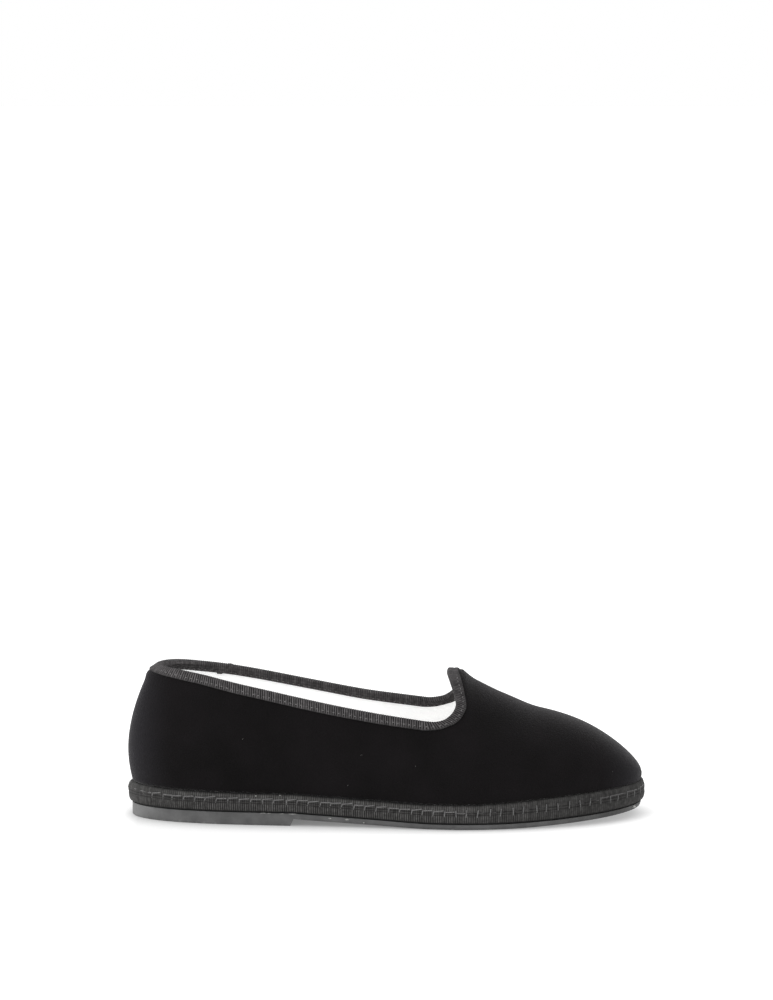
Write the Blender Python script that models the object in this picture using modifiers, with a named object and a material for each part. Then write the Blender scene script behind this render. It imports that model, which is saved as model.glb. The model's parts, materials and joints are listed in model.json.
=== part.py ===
"""Velvet slipper for the right foot, with a ribbon-bound cloth sole on thin rubber.

The shoe lies along X with its toe at +X, its outer side at -Y and its sole on Z = 0.
Sizes are millimetres, turned into metres where a mesh is made.
"""
import math

import bmesh
import bpy
import numpy as np

OBJECT_NAME = "velvet_slipper"
MM = 0.001

# Driving dimensions
LENGTH = 254.8            # from the back of the heel's belly to the toe's tip
WALL = 2.2                # velvet, cotton padding and lining together
GAP = 0.3                 # clearance where two pieces meet
OUTSOLE = 2.8             # rubber sheet under the whole foot
OUTSOLE_INSET = 1.8       # rubber's top edge behind the band's side
LEDGE = 2.0               # band's stand-out past the foot of the upper
INSOLE = 2.2
INSOLE_CLEARANCE = 0.5    # between its edge and the foot of the wall
HEEL_LIFT = 3.1
HEEL_BREAST = 82.6        # where the lift ends, at its top
BREAST_SLOPE = 1.8        # its front face slants back by this much
BINDING_WIDTH = 4.3       # ribbon outside the collar's edge
BINDING_INSIDE = 3.9      # and inside it
BINDING_THICK = 0.6
BINDING_CROWN = 0.9       # height of the rounded fold over the edge

# Shape of the last at its two ends
HEEL_ROUND = 46.0         # length of the rounding at the back
TOE_ROUND = 64.8          # length of the rounding at the toe
TOE_PLAN_POWER = 2.0
TOE_RIDGE_POWER = 1.6
HEEL_LEAN = 10.4          # forward lean at LEAN_HEIGHT above the belly
LEAN_HEIGHT = 38.0
LEAN_POWER = 1.8
LEAN_REACH = 75.0
COLLAR_TURN = 1.9         # further lean of the bound collar, TURN_HEIGHT above TURN_START
TURN_START = 69.4
TURN_HEIGHT = 6.0
TURN_POWER = 1.5

# Underside: the arch falls to a flat forefoot, then the toe springs up
ARCH_END = 148.0
ARCH_POWER = 1.1
FLAT_END = 180.0
TOE_SPRING = 4.2
SPRING_POWER = 1.6

# Mesh divisions along half of the outline, and up the upper's wall
HEEL_STEPS = 8
QUARTER_STEPS = 10
FRONT_STEPS = 16
FOOT_ROWS = 3
WALL_ROWS = 10
ROW_SPREAD = 1.3          # above 1, rows lie closer near the belly
BINDING_ROWS = 2
CROWN_STEPS = 4
ARC_SAMPLES = 60

SHARP_ANGLE = 40.0        # degrees at which shading breaks

LATERAL = -1
MEDIAL = 1


def table(names, rows):
    """Named columns of a small table."""
    return {name: [row[i] for row in rows] for i, name in enumerate(names)}


# Cross-sections of the last, from heel to toe
SECTIONS = table(("x", "lateral", "medial", "ridge", "roundness", "belly", "tuck", "band"), (
    (0.0, 27.5, 27.0, 98.4, 1.60, 16.5, 2.2, 10.2),
    (30.0, 28.2, 27.5, 100.4, 1.60, 15.0, 2.1, 9.6),
    (60.0, 31.5, 28.0, 108.4, 2.15, 13.5, 1.6, 9.3),
    (90.0, 34.8, 28.0, 108.4, 2.35, 13.5, 1.5, 9.2),
    (120.0, 38.5, 31.0, 96.9, 1.85, 13.5, 1.5, 9.2),
    (140.0, 42.0, 36.0, 81.4, 1.80, 13.0, 1.5, 9.3),
    (158.0, 44.5, 39.7, 72.4, 1.85, 12.5, 1.4, 9.4),
    (165.0, 45.0, 40.8, 71.9, 1.75, 12.0, 1.35, 9.4),
    (172.0, 44.8, 41.4, 67.4, 1.75, 11.5, 1.3, 9.4),
    (185.0, 43.3, 41.9, 60.6, 1.80, 10.5, 1.2, 10.0),
    (205.0, 40.4, 41.6, 54.6, 1.90, 8.5, 1.0, 10.7),
    (225.0, 38.2, 41.0, 54.4, 2.00, 6.0, 0.7, 10.9),
    (LENGTH, 37.0, 40.5, 51.4, 2.00, 2.8, 0.3, 10.4),
))

# Upper's top edge: its height along the quarters, then its run around the throat
QUARTER_EDGE = table(("x", "height"), (
    (0.0, 75.4),
    (5.0, 75.2),
    (14.0, 74.7),
    (30.0, 73.1),
    (60.0, 68.3),
    (90.0, 62.3),
    (120.0, 56.5),
    (146.0, 52.5),
))
THROAT_EDGE = table(("x", "width_share"), (
    (151.0, 0.808),
    (157.0, 0.775),
    (161.4, 0.70),
    (163.4, 0.59),
    (162.3, 0.46),
    (160.5, 0.27),
    (159.3, 0.08),
    (159.1, 0.0),
))

# Side profiles of the sole's layers by share of height; the band's has the stitch groove
BAND_SIDE = table(("share", "inset"), (
    (0.0, 1.3),
    (0.12, 0.5),
    (0.32, 0.0),
    (0.50, 0.35),
    (0.68, 0.1),
    (0.88, 0.5),
    (1.0, 1.4),
))
OUTSOLE_SIDE = table(("share", "inset"), (
    (0.0, 1.8),
    (0.38, 0.4),
    (1.0, 0.0),
))
HEEL_SIDE = table(("share", "inset"), (
    (0.0, 0.3),
    (1.0, 0.0),
))
INSOLE_SIDE = table(("share", "inset"), (
    (0.0, 0.0),
    (0.73, 0.0),
    (1.0, 0.6),
))


def smooth_curve(knots, values):
    """Cubic through the points that stays between neighbouring values."""
    knots = np.asarray(knots, dtype=float)
    values = np.asarray(values, dtype=float)
    steps = np.diff(knots)
    slopes = np.diff(values) / steps
    tangents = np.zeros(len(knots))
    tangents[0] = slopes[0]
    tangents[-1] = slopes[-1]
    for i in range(1, len(knots) - 1):
        if slopes[i - 1] * slopes[i] > 0.0:
            before = 2.0 * steps[i] + steps[i - 1]
            after = steps[i] + 2.0 * steps[i - 1]
            mean = before / slopes[i - 1] + after / slopes[i]
            tangents[i] = (before + after) / mean

    def curve(at):
        i = int(np.clip(np.searchsorted(knots, at) - 1, 0, len(steps) - 1))
        t = min(max((at - knots[i]) / steps[i], 0.0), 1.0)
        start = (1.0 + 2.0 * t) * (1.0 - t) ** 2 * values[i]
        end = t * t * (3.0 - 2.0 * t) * values[i + 1]
        bend = t * (1.0 - t) ** 2 * tangents[i] - t * t * (1.0 - t) * tangents[i + 1]
        return start + end + bend * steps[i]

    return curve


section = {name: smooth_curve(SECTIONS["x"], values) for name, values in SECTIONS.items() if name != "x"}
quarter_height = smooth_curve(QUARTER_EDGE["x"], QUARTER_EDGE["height"])
QUARTER_END = QUARTER_EDGE["x"][-1]


def round_off(t, power):
    """Superellipse that falls from 1 to 0 as t goes from 0 to 1."""
    t = min(max(t, 0.0), 1.0)
    return (1.0 - t ** power) ** (1.0 / power)


def toe_share(x):
    """How far along the toe's rounding a station lies."""
    return (x - (LENGTH - TOE_ROUND)) / TOE_ROUND


def underside(x):
    """Height of the outsole's bottom above the floor."""
    heel_rise = HEEL_LIFT + GAP
    if x < ARCH_END:
        ahead = max(x - HEEL_BREAST, 0.0) / (ARCH_END - HEEL_BREAST)
        return heel_rise * (1.0 - ahead) ** ARCH_POWER
    if x < FLAT_END:
        return 0.0
    return TOE_SPRING * ((x - FLAT_END) / (LENGTH - FLAT_END)) ** SPRING_POWER


def edge_rounding(x):
    """Share of the rounding on the rubber's edge: none over the lift, full at the forefoot."""
    return min(max((x - HEEL_BREAST) / (ARCH_END - HEEL_BREAST), 0.0), 1.0)


def band_bottom(x):
    return underside(x) + OUTSOLE + GAP


def band_top(x):
    return band_bottom(x) + section["band"](x)


def feather(x):
    """Height of the upper's lower edge, where it sits on the band."""
    return band_top(x) + GAP


def belly(x):
    """Height at which the upper is widest."""
    return feather(x) + section["belly"](x)


def half_width(x, side):
    """Half width of the last at its belly, rounded off at heel and toe."""
    width = section["lateral" if side == LATERAL else "medial"](x)
    return width * round_off(1.0 - x / HEEL_ROUND, 2.0) * round_off(toe_share(x), TOE_PLAN_POWER)


def ridge(x):
    """Height of the section's crown, which also rounds off at the toe."""
    return belly(x) + (section["ridge"](x) - belly(x)) * round_off(toe_share(x), TOE_RIDGE_POWER)


def surface_height(x, y):
    """Height of the last's surface above its belly line at a plan point."""
    width = half_width(x, MEDIAL if y > 0.0 else LATERAL)
    share = abs(y) / width if width > 0.0 else 1.0
    return belly(x) + (ridge(x) - belly(x)) * round_off(share, section["roundness"](x))


def lean(x, z):
    """Forward shift of the heel's back at a height, with its bound collar pulled in at the top."""
    above = max(z - belly(x), 0.0) / LEAN_HEIGHT
    over = max(z - TURN_START, 0.0) / TURN_HEIGHT
    reach = max(1.0 - x / LEAN_REACH, 0.0)
    return (HEEL_LEAN * above ** LEAN_POWER + COLLAR_TURN * over ** TURN_POWER) * reach ** 2


def half_stations():
    """Belly stations from the heel's back to the toe's tip, closer at both ends."""
    heel = [HEEL_ROUND * (1.0 - math.cos(0.5 * math.pi * i / HEEL_STEPS)) for i in range(HEEL_STEPS)]
    quarter = np.linspace(HEEL_ROUND, QUARTER_END, QUARTER_STEPS, endpoint=False)
    turn = [0.5 * math.pi * i / FRONT_STEPS for i in range(FRONT_STEPS + 1)]
    front = [QUARTER_END + (LENGTH - QUARTER_END) * math.sin(angle) for angle in turn]
    return [*heel, *quarter, *front]


def around(half):
    """Join lateral and medial halves into one loop that starts at the heel's back."""
    stations = half_stations()
    last = len(stations) - 1
    lateral = [half(x, LATERAL, i) for i, x in enumerate(stations)]
    medial = [half(stations[i], MEDIAL, i) for i in range(last - 1, 0, -1)]
    return lateral + medial


def quarter_share(x):
    """Half-width share at which the section reaches the quarter's edge height."""
    rise = (quarter_height(x) - belly(x)) / (ridge(x) - belly(x))
    return round_off(rise, section["roundness"](x))


def throat_points(side):
    """Top-edge plan points around one half of the throat, evenly spaced."""
    stations = [QUARTER_END, *THROAT_EDGE["x"]]
    shares = [quarter_share(QUARTER_END), *THROAT_EDGE["width_share"]]
    points = np.array([(x, share * half_width(x, side)) for x, share in zip(stations, shares)])
    knots = np.concatenate(([0.0], np.cumsum(np.hypot(*np.diff(points, axis=0).T))))
    along_x = smooth_curve(knots, points[:, 0])
    along_y = smooth_curve(knots, points[:, 1])
    steps = np.linspace(0.0, knots[-1], FRONT_STEPS + 1)
    return [(along_x(s), side * along_y(s)) for s in steps]


def meridian(bottom, top):
    """Points up the wall from the belly to the top edge, with rows for the binding."""
    side = MEDIAL if bottom[1] + top[1] > 0.0 else LATERAL
    bottom = np.array(bottom)
    top = np.array(top)
    upright = bottom[0] == 0.0
    width = half_width(top[0], side)
    share = abs(top[1]) / width if width > 0.0 else 0.0
    power = section["roundness"](top[0])
    sweep = math.acos(min(share ** (0.5 * power), 1.0))
    points = []
    for t in np.linspace(0.0, 1.0, ARC_SAMPLES):
        if upright:
            x, y = bottom
            z = belly(x) + t * (quarter_height(x) - belly(x))
        else:
            reach = (1.0 - math.cos(sweep * t) ** (2.0 / power)) / (1.0 - share)
            x, y = bottom + (top - bottom) * reach
            z = surface_height(x, y)
        points.append((x + lean(x, z), y, z))
    points = np.array(points)
    lengths = np.concatenate(([0.0], np.cumsum(np.linalg.norm(np.diff(points, axis=0), axis=1))))
    below = (lengths[-1] - BINDING_WIDTH) * np.linspace(0.0, 1.0, WALL_ROWS + 1) ** ROW_SPREAD
    covered = np.linspace(lengths[-1] - BINDING_WIDTH, lengths[-1], BINDING_ROWS + 1)
    marks = [*below, *covered[1:]]
    return np.array([[np.interp(m, lengths, points[:, axis]) for axis in range(3)] for m in marks])


def inward(loop):
    """Unit plan directions pointing into a loop that runs heel, lateral, toe, medial."""
    tangent = np.roll(loop, -1, axis=0) - np.roll(loop, 1, axis=0)
    normal = np.stack((-tangent[:, 1], tangent[:, 0]), axis=1)
    return normal / np.linalg.norm(normal, axis=1, keepdims=True)


def inset_loop(loop, distance):
    return loop + inward(loop) * distance


def belly_loop():
    return np.array(around(lambda x, side, i: (x, side * half_width(x, side))))


def feather_loop():
    """Plan outline of the upper's lower edge, tucked in under the belly."""
    loop = belly_loop()
    tuck = np.array([[section["tuck"](x)] for x, _ in loop])
    return loop + inward(loop) * tuck


def band_loop():
    return inset_loop(feather_loop(), -LEDGE)


def upper_rows():
    """Rings of the upper's outer surface, from its lower edge to its top edge."""
    throats = {side: throat_points(side) for side in (LATERAL, MEDIAL)}
    first = HEEL_STEPS + QUARTER_STEPS

    def climb(x, side, i):
        width = half_width(x, side)
        if i <= first:
            top = (x, side * width * quarter_share(x))
        else:
            top = throats[side][i - first]
        return meridian((x, side * width), top)

    walls = np.array(around(climb))
    loop = walls[:, 0, :2]
    turn = inward(loop)
    rows = []
    for i in range(FOOT_ROWS):
        drop = 1.0 - i / FOOT_ROWS
        ring = []
        for (x, y), (in_x, in_y) in zip(loop, turn):
            tuck = section["tuck"](x) * drop ** 2
            ring.append((x + in_x * tuck, y + in_y * tuck, belly(x) + (feather(x) - belly(x)) * drop))
        rows.append(np.array(ring))
    return rows + [walls[:, i] for i in range(walls.shape[1])]


def add_rings(mesh, rings):
    """Make vertices for each ring of millimetre points."""
    return [[mesh.verts.new(np.array(point) * MM) for point in ring] for ring in rings]


def bridge(mesh, lower, upper):
    """Close the band of quads between two rings of equal length."""
    size = len(lower)
    for i in range(size):
        j = (i + 1) % size
        mesh.faces.new((lower[i], lower[j], upper[j], upper[i]))


def cap(mesh, ring):
    """Close a ring by strips from its lateral to its medial half."""
    size = len(ring)
    for j in range(size // 2):
        corners = (ring[j], ring[j + 1], ring[size - j - 1], ring[(size - j) % size])
        mesh.faces.new(list(dict.fromkeys(corners)))


def finish_object(mesh, name, material, parent):
    """Turn a bmesh into a smooth-shaded object under the shoe's empty."""
    bmesh.ops.recalc_face_normals(mesh, faces=mesh.faces)
    data = bpy.data.meshes.new(name)
    mesh.to_mesh(data)
    mesh.free()
    data.shade_smooth()
    data.set_sharp_from_angle(angle=math.radians(SHARP_ANGLE))
    data.materials.append(material)
    piece = bpy.data.objects.new(name, data)
    piece.parent = parent
    parent.users_collection[0].objects.link(piece)
    return piece


def linear(channel):
    """Linear value of an 8-bit sRGB channel."""
    share = channel / 255.0
    return share / 12.92 if share <= 0.04045 else ((share + 0.055) / 1.055) ** 2.4


def principled(name, colour, roughness):
    material = bpy.data.materials.new(name)
    material.use_nodes = True
    shader = material.node_tree.nodes["Principled BSDF"]
    shader.inputs["Base Color"].default_value = (*[linear(channel) for channel in colour], 1.0)
    shader.inputs["Roughness"].default_value = roughness
    shader.inputs["Metallic"].default_value = 0.0
    return material


def make_upper(parent, material):
    """Hollow wall, open at the collar and underneath."""
    mesh = bmesh.new()
    rings = add_rings(mesh, upper_rows())
    for lower, upper in zip(rings, rings[1:]):
        bridge(mesh, lower, upper)
    piece = finish_object(mesh, "upper", material, parent)
    wall = piece.modifiers.new("wall", "SOLIDIFY")
    wall.thickness = WALL * MM
    wall.offset = -1.0
    return piece


def edge_normals(rows):
    """Outward normals of the upper's surface at the rows that the binding covers."""
    mesh = bmesh.new()
    rings = add_rings(mesh, rows)
    for lower, upper in zip(rings, rings[1:]):
        bridge(mesh, lower, upper)
    mesh.normal_update()
    normals = [np.array([vert.normal[:] for vert in ring]) for ring in rings[-BINDING_ROWS - 1:]]
    mesh.free()
    return normals


def make_binding(parent, material):
    """Ribbon folded over the collar's edge as one closed channel."""
    rows = upper_rows()
    normals = edge_normals(rows)
    covered = rows[-BINDING_ROWS - 1:]
    climb = covered[-1] - covered[-2]
    climb -= normals[-1] * np.sum(climb * normals[-1], axis=1, keepdims=True)
    climb /= np.linalg.norm(climb, axis=1, keepdims=True)
    middle = covered[-1] - normals[-1] * (0.5 * WALL)

    trim = (BINDING_WIDTH - BINDING_INSIDE) * BINDING_ROWS / BINDING_WIDTH

    def leaf(depth):
        return [row + normal * depth for row, normal in zip(covered, normals)]

    def inner_leaf(depth):
        sheet = leaf(depth)
        return [sheet[0] + (sheet[1] - sheet[0]) * trim, *sheet[1:]]

    def crown(spread, height):
        angles = [math.pi * i / CROWN_STEPS for i in range(1, CROWN_STEPS)]
        return [middle + normals[-1] * (spread * math.cos(a)) + climb * (height * math.sin(a)) for a in angles]

    outer = GAP + BINDING_THICK
    outside = leaf(outer) + crown(0.5 * WALL + outer, BINDING_CROWN) + inner_leaf(-WALL - outer)[::-1]
    inside = inner_leaf(-WALL - GAP) + [middle + climb * GAP] + leaf(GAP)[::-1]
    mesh = bmesh.new()
    rings = add_rings(mesh, outside + inside)
    for lower, upper in zip(rings, rings[1:] + rings[:1]):
        bridge(mesh, lower, upper)
    return finish_object(mesh, "collar_binding", material, parent)


def side_rings(outline, profile, bottom, thickness, scale=1.0):
    """Rings of a layer's side, each inset and lifted as its profile says."""
    rings = []
    for share, inset in zip(profile["share"], profile["inset"]):
        loop = inset_loop(outline, inset * scale)
        rings.append([(x, y, bottom(x) + share * thickness(x)) for x, y in loop])
    return rings


def make_layer(name, rings, parent, material):
    """Closed layer through rings that go from its bottom to its top."""
    mesh = bmesh.new()
    loops = add_rings(mesh, rings)
    for lower, upper in zip(loops, loops[1:]):
        bridge(mesh, lower, upper)
    cap(mesh, loops[0])
    cap(mesh, loops[-1])
    return finish_object(mesh, name, material, parent)


def make_midsole(parent, material):
    """Cloth sole bound in ribbon."""
    rings = side_rings(band_loop(), BAND_SIDE, band_bottom, section["band"])
    return make_layer("midsole", rings, parent, material)


def make_outsole(parent, material):
    """Rubber sheet with arch, flat forefoot and toe spring."""
    outline = inset_loop(band_loop(), OUTSOLE_INSET)
    rounding = np.array([[edge_rounding(x)] for x, _ in outline])
    rings = side_rings(outline, OUTSOLE_SIDE, underside, lambda x: OUTSOLE, rounding)
    return make_layer("outsole", rings, parent, material)


def make_insole(parent, material):
    """Thin footbed inside the upper's wall."""
    outline = inset_loop(feather_loop(), WALL + INSOLE_CLEARANCE)
    rings = side_rings(outline, INSOLE_SIDE, feather, lambda x: INSOLE)
    return make_layer("insole", rings, parent, material)


def seat_ring(loop, front, count):
    """Back part of a sole outline, cut straight across at its front."""
    half = len(loop) // 2 + 1
    medial = np.roll(loop[::-1], 1, axis=0)
    corners = [(front, np.interp(front, side[:half, 0], side[:half, 1])) for side in (loop, medial)]
    return [*loop[:count], *corners, *loop[-count + 1:]]


def make_heel(parent, material):
    """Low rubber lift under the seat, with a slanted front face."""
    outline = inset_loop(band_loop(), OUTSOLE_INSET)
    count = sum(1 for x in half_stations() if x < HEEL_BREAST - 2.0 * BREAST_SLOPE)
    rings = []
    for share, inset in zip(HEEL_SIDE["share"], HEEL_SIDE["inset"]):
        front = HEEL_BREAST - BREAST_SLOPE * (1.0 - share)
        seat = seat_ring(inset_loop(outline, inset), front, count)
        rings.append([(x, y, share * HEEL_LIFT) for x, y in seat])
    mesh = bmesh.new()
    loops = add_rings(mesh, rings)
    bridge(mesh, *loops)
    mesh.faces.new(loops[0])
    mesh.faces.new(loops[1])
    return finish_object(mesh, "heel", material, parent)


def centre_on_floor(root, pieces):
    """Put the middle of the shoe's plan box on the origin."""
    points = np.array([vert.co[:] for piece in pieces for vert in piece.data.vertices])
    low = points.min(axis=0)
    high = points.max(axis=0)
    root.location = (-0.5 * (low[0] + high[0]), -0.5 * (low[1] + high[1]), -low[2])


def main():
    for item in list(bpy.data.objects):
        bpy.data.objects.remove(item, do_unlink=True)
    collection = bpy.data.collections.new(OBJECT_NAME)
    bpy.context.scene.collection.children.link(collection)
    root = bpy.data.objects.new("slipper_root", None)
    collection.objects.link(root)

    velvet = principled("black_cotton_velvet", (23, 23, 25), 0.95)
    ribbon = principled("black_grosgrain_ribbon", (58, 58, 60), 0.75)
    band = principled("black_ribbon_bound_cloth", (56, 56, 58), 0.8)
    cotton = principled("white_cotton_footbed", (236, 236, 234), 0.85)
    rubber = principled("dark_grey_sole_rubber", (88, 88, 90), 0.6)
    lift = principled("dark_grey_lift_rubber", (92, 92, 94), 0.6)

    pieces = [
        make_outsole(root, rubber),
        make_heel(root, lift),
        make_midsole(root, band),
        make_insole(root, cotton),
        make_upper(root, velvet),
        make_binding(root, ribbon),
    ]
    centre_on_floor(root, pieces)


main()
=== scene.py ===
"""Looks of a velvet slipper: velvet upper, cotton lining, bound collar, stitched sole band and rubber sole.

The file is laid out as an add-on and is run as a script. The last's sizes are millimetres, turned into
metres where a mesh is made, and the lengths that a user would change are metres.
"""

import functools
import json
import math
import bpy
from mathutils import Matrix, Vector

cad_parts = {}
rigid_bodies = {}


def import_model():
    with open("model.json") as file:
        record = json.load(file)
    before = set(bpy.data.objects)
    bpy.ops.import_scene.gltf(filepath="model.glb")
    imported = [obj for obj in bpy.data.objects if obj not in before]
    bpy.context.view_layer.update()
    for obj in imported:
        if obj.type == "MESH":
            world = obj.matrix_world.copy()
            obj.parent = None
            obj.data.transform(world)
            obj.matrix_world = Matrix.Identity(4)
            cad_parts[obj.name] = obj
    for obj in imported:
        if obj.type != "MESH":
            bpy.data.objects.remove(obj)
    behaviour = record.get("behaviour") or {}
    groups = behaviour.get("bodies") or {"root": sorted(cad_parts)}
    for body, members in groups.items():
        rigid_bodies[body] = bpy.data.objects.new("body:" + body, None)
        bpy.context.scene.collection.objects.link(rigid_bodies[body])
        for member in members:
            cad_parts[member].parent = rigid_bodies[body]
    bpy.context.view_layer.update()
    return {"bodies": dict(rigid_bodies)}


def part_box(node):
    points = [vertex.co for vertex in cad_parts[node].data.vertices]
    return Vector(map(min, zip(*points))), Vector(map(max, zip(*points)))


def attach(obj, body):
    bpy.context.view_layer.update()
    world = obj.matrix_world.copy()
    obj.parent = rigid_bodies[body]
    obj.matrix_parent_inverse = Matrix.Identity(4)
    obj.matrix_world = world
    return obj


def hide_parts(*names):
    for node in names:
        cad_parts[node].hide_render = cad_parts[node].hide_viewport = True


bl_info = {
    "name": "Velvet Slipper Looks",
    "version": (1, 0, 0),
    "blender": (4, 5, 0),
    "location": "View3D > Sidebar > Slipper",
    "description": "Dresses the solids of a velvet slipper in velvet, ribbon, thread, cotton and rubber",
    "category": "Object",
}

import bpy
import numpy as np
from bpy.props import FloatProperty, FloatVectorProperty, IntProperty, PointerProperty

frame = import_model()

# The shoe has no joints, so its frame has one body
(BODY,) = frame["bodies"]
MM = 0.001

# Sizes of the last and of the layers, the same as in the solids
LENGTH = 254.8
WALL = 2.2
GAP = 0.3
OUTSOLE = 2.8
OUTSOLE_INSET = 1.8
LEDGE = 2.0
INSOLE = 2.2
INSOLE_CLEARANCE = 0.5
HEEL_LIFT = 3.1
HEEL_BREAST = 82.6
BREAST_SLOPE = 1.8
BINDING_WIDTH = 4.3
BINDING_INSIDE = 3.9
BINDING_CROWN = 0.9
HEEL_ROUND = 46.0
TOE_ROUND = 64.8
TOE_PLAN_POWER = 2.0
TOE_RIDGE_POWER = 1.6
HEEL_LEAN = 10.4
LEAN_HEIGHT = 38.0
LEAN_POWER = 1.8
LEAN_REACH = 75.0
COLLAR_TURN = 1.9
TURN_START = 69.4
TURN_HEIGHT = 6.0
TURN_POWER = 1.5
ARCH_END = 148.0
ARCH_POWER = 1.1
FLAT_END = 180.0
TOE_SPRING = 4.2
SPRING_POWER = 1.6

# Mesh divisions, finer than those of the solids
HEEL_STEPS = 40
QUARTER_STEPS = 60
FRONT_STEPS = 100
FOOT_ROWS = 8
WALL_ROWS = 44
EDGE_ROWS = 9
ARC_SAMPLES = 90
CROWN_STEPS = 8
RIB_SAMPLES = 5
BAND_RIB_SAMPLES = 4
THREAD_STEPS = 6
THREAD_SIDES = 7
DROP_RINGS = 7
DROP_SIDES = 10
LINT_RINGS = 6
LINT_SIDES = 5

LATERAL = -1
BOTH = 0
MEDIAL = 1
UP = np.array((0.0, 0.0, 1.0))


def table(names, rows):
    """Named columns of a small table."""
    return {name: [row[i] for row in rows] for i, name in enumerate(names)}


# Cross-sections of the last, from heel to toe
SECTIONS = table(("x", "lateral", "medial", "ridge", "roundness", "belly", "tuck", "band"), (
    (0.0, 27.5, 27.0, 98.4, 1.60, 16.5, 2.2, 10.2),
    (30.0, 28.2, 27.5, 100.4, 1.60, 15.0, 2.1, 9.6),
    (60.0, 31.5, 28.0, 108.4, 2.15, 13.5, 1.6, 9.3),
    (90.0, 34.8, 28.0, 108.4, 2.35, 13.5, 1.5, 9.2),
    (120.0, 38.5, 31.0, 96.9, 1.85, 13.5, 1.5, 9.2),
    (140.0, 42.0, 36.0, 81.4, 1.80, 13.0, 1.5, 9.3),
    (158.0, 44.5, 39.7, 72.4, 1.85, 12.5, 1.4, 9.4),
    (165.0, 45.0, 40.8, 71.9, 1.75, 12.0, 1.35, 9.4),
    (172.0, 44.8, 41.4, 67.4, 1.75, 11.5, 1.3, 9.4),
    (185.0, 43.3, 41.9, 60.6, 1.80, 10.5, 1.2, 10.0),
    (205.0, 40.4, 41.6, 54.6, 1.90, 8.5, 1.0, 10.7),
    (225.0, 38.2, 41.0, 54.4, 2.00, 6.0, 0.7, 10.9),
    (LENGTH, 37.0, 40.5, 51.4, 2.00, 2.8, 0.3, 10.4),
))
QUARTER_EDGE = table(("x", "height"), (
    (0.0, 75.4),
    (5.0, 75.2),
    (14.0, 74.7),
    (30.0, 73.1),
    (60.0, 68.3),
    (90.0, 62.3),
    (120.0, 56.5),
    (146.0, 52.5),
))
THROAT_EDGE = table(("x", "width_share"), (
    (151.0, 0.808),
    (157.0, 0.775),
    (161.4, 0.70),
    (163.4, 0.59),
    (162.3, 0.46),
    (160.5, 0.27),
    (159.3, 0.08),
    (159.1, 0.0),
))

# Side of the ribbon-bound band by share of its height: how far it is let in, how strongly it is ribbed, and
# how light its cloth is along the sides and around heel and toe. The stitch pulls two grooves into it. The
# tones hold painted shade: black in the gap over the outsole, and darker in both grooves and under the
# velvet's ledge at the top.
BAND_PROFILE = table(("share", "inset", "ribbed", "tone", "end_tone"), (
    (0.0, 4.0, 0.0, 0.0, 0.0),
    (0.0, 2.4, 0.0, 0.0, 0.0),
    (0.03, 1.9, 0.0, 0.0, 0.0),
    (0.055, 1.2, 0.3, 0.0, 0.0),
    (0.085, 0.7, 0.35, 0.7, 0.6),
    (0.13, 0.45, 0.95, 1.1, 0.92),
    (0.20, 0.22, 0.95, 1.1, 0.92),
    (0.28, 0.05, 0.95, 1.1, 0.92),
    (0.36, 0.0, 0.95, 1.1, 0.92),
    (0.44, 0.05, 0.85, 1.05, 0.9),
    (0.475, 0.15, 0.45, 0.95, 0.9),
    (0.50, 0.4, 0.35, 0.5, 0.55),
    (0.525, 0.15, 0.45, 0.95, 0.9),
    (0.57, 0.1, 0.5, 1.0, 0.9),
    (0.595, 0.2, 0.45, 0.9, 0.9),
    (0.62, 0.45, 0.35, 0.45, 0.55),
    (0.645, 0.2, 0.45, 0.95, 0.9),
    (0.69, 0.12, 0.55, 1.2, 0.9),
    (0.75, 0.2, 0.6, 1.3, 0.9),
    (0.82, 0.38, 0.6, 1.3, 0.9),
    (0.88, 0.56, 0.6, 1.3, 0.95),
    (0.93, 0.8, 0.55, 1.05, 1.0),
    (0.97, 1.1, 0.5, 0.7, 1.0),
    (1.0, 1.6, 0.35, 0.3, 0.9),
    (1.0, 2.6, 0.0, 0.05, 0.6),
    (1.0, 4.0, 0.0, 0.05, 0.4),
))
OUTSOLE_PROFILE = table(("share", "inset"), (
    (0.0, 1.8),
    (0.07, 1.15),
    (0.18, 0.75),
    (0.38, 0.4),
    (0.70, 0.1),
    (0.94, 0.0),
    (1.0, 0.1),
))
HEEL_PROFILE = table(("share", "inset"), (
    (0.0, 0.3),
    (0.05, 0.1),
    (0.3, 0.0),
    (1.0, 0.0),
))
INSOLE_PROFILE = table(("share", "inset"), (
    (0.0, 0.3),
    (0.1, 0.0),
    (0.6, 0.0),
    (0.85, 0.2),
    (1.0, 0.8),
))
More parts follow.
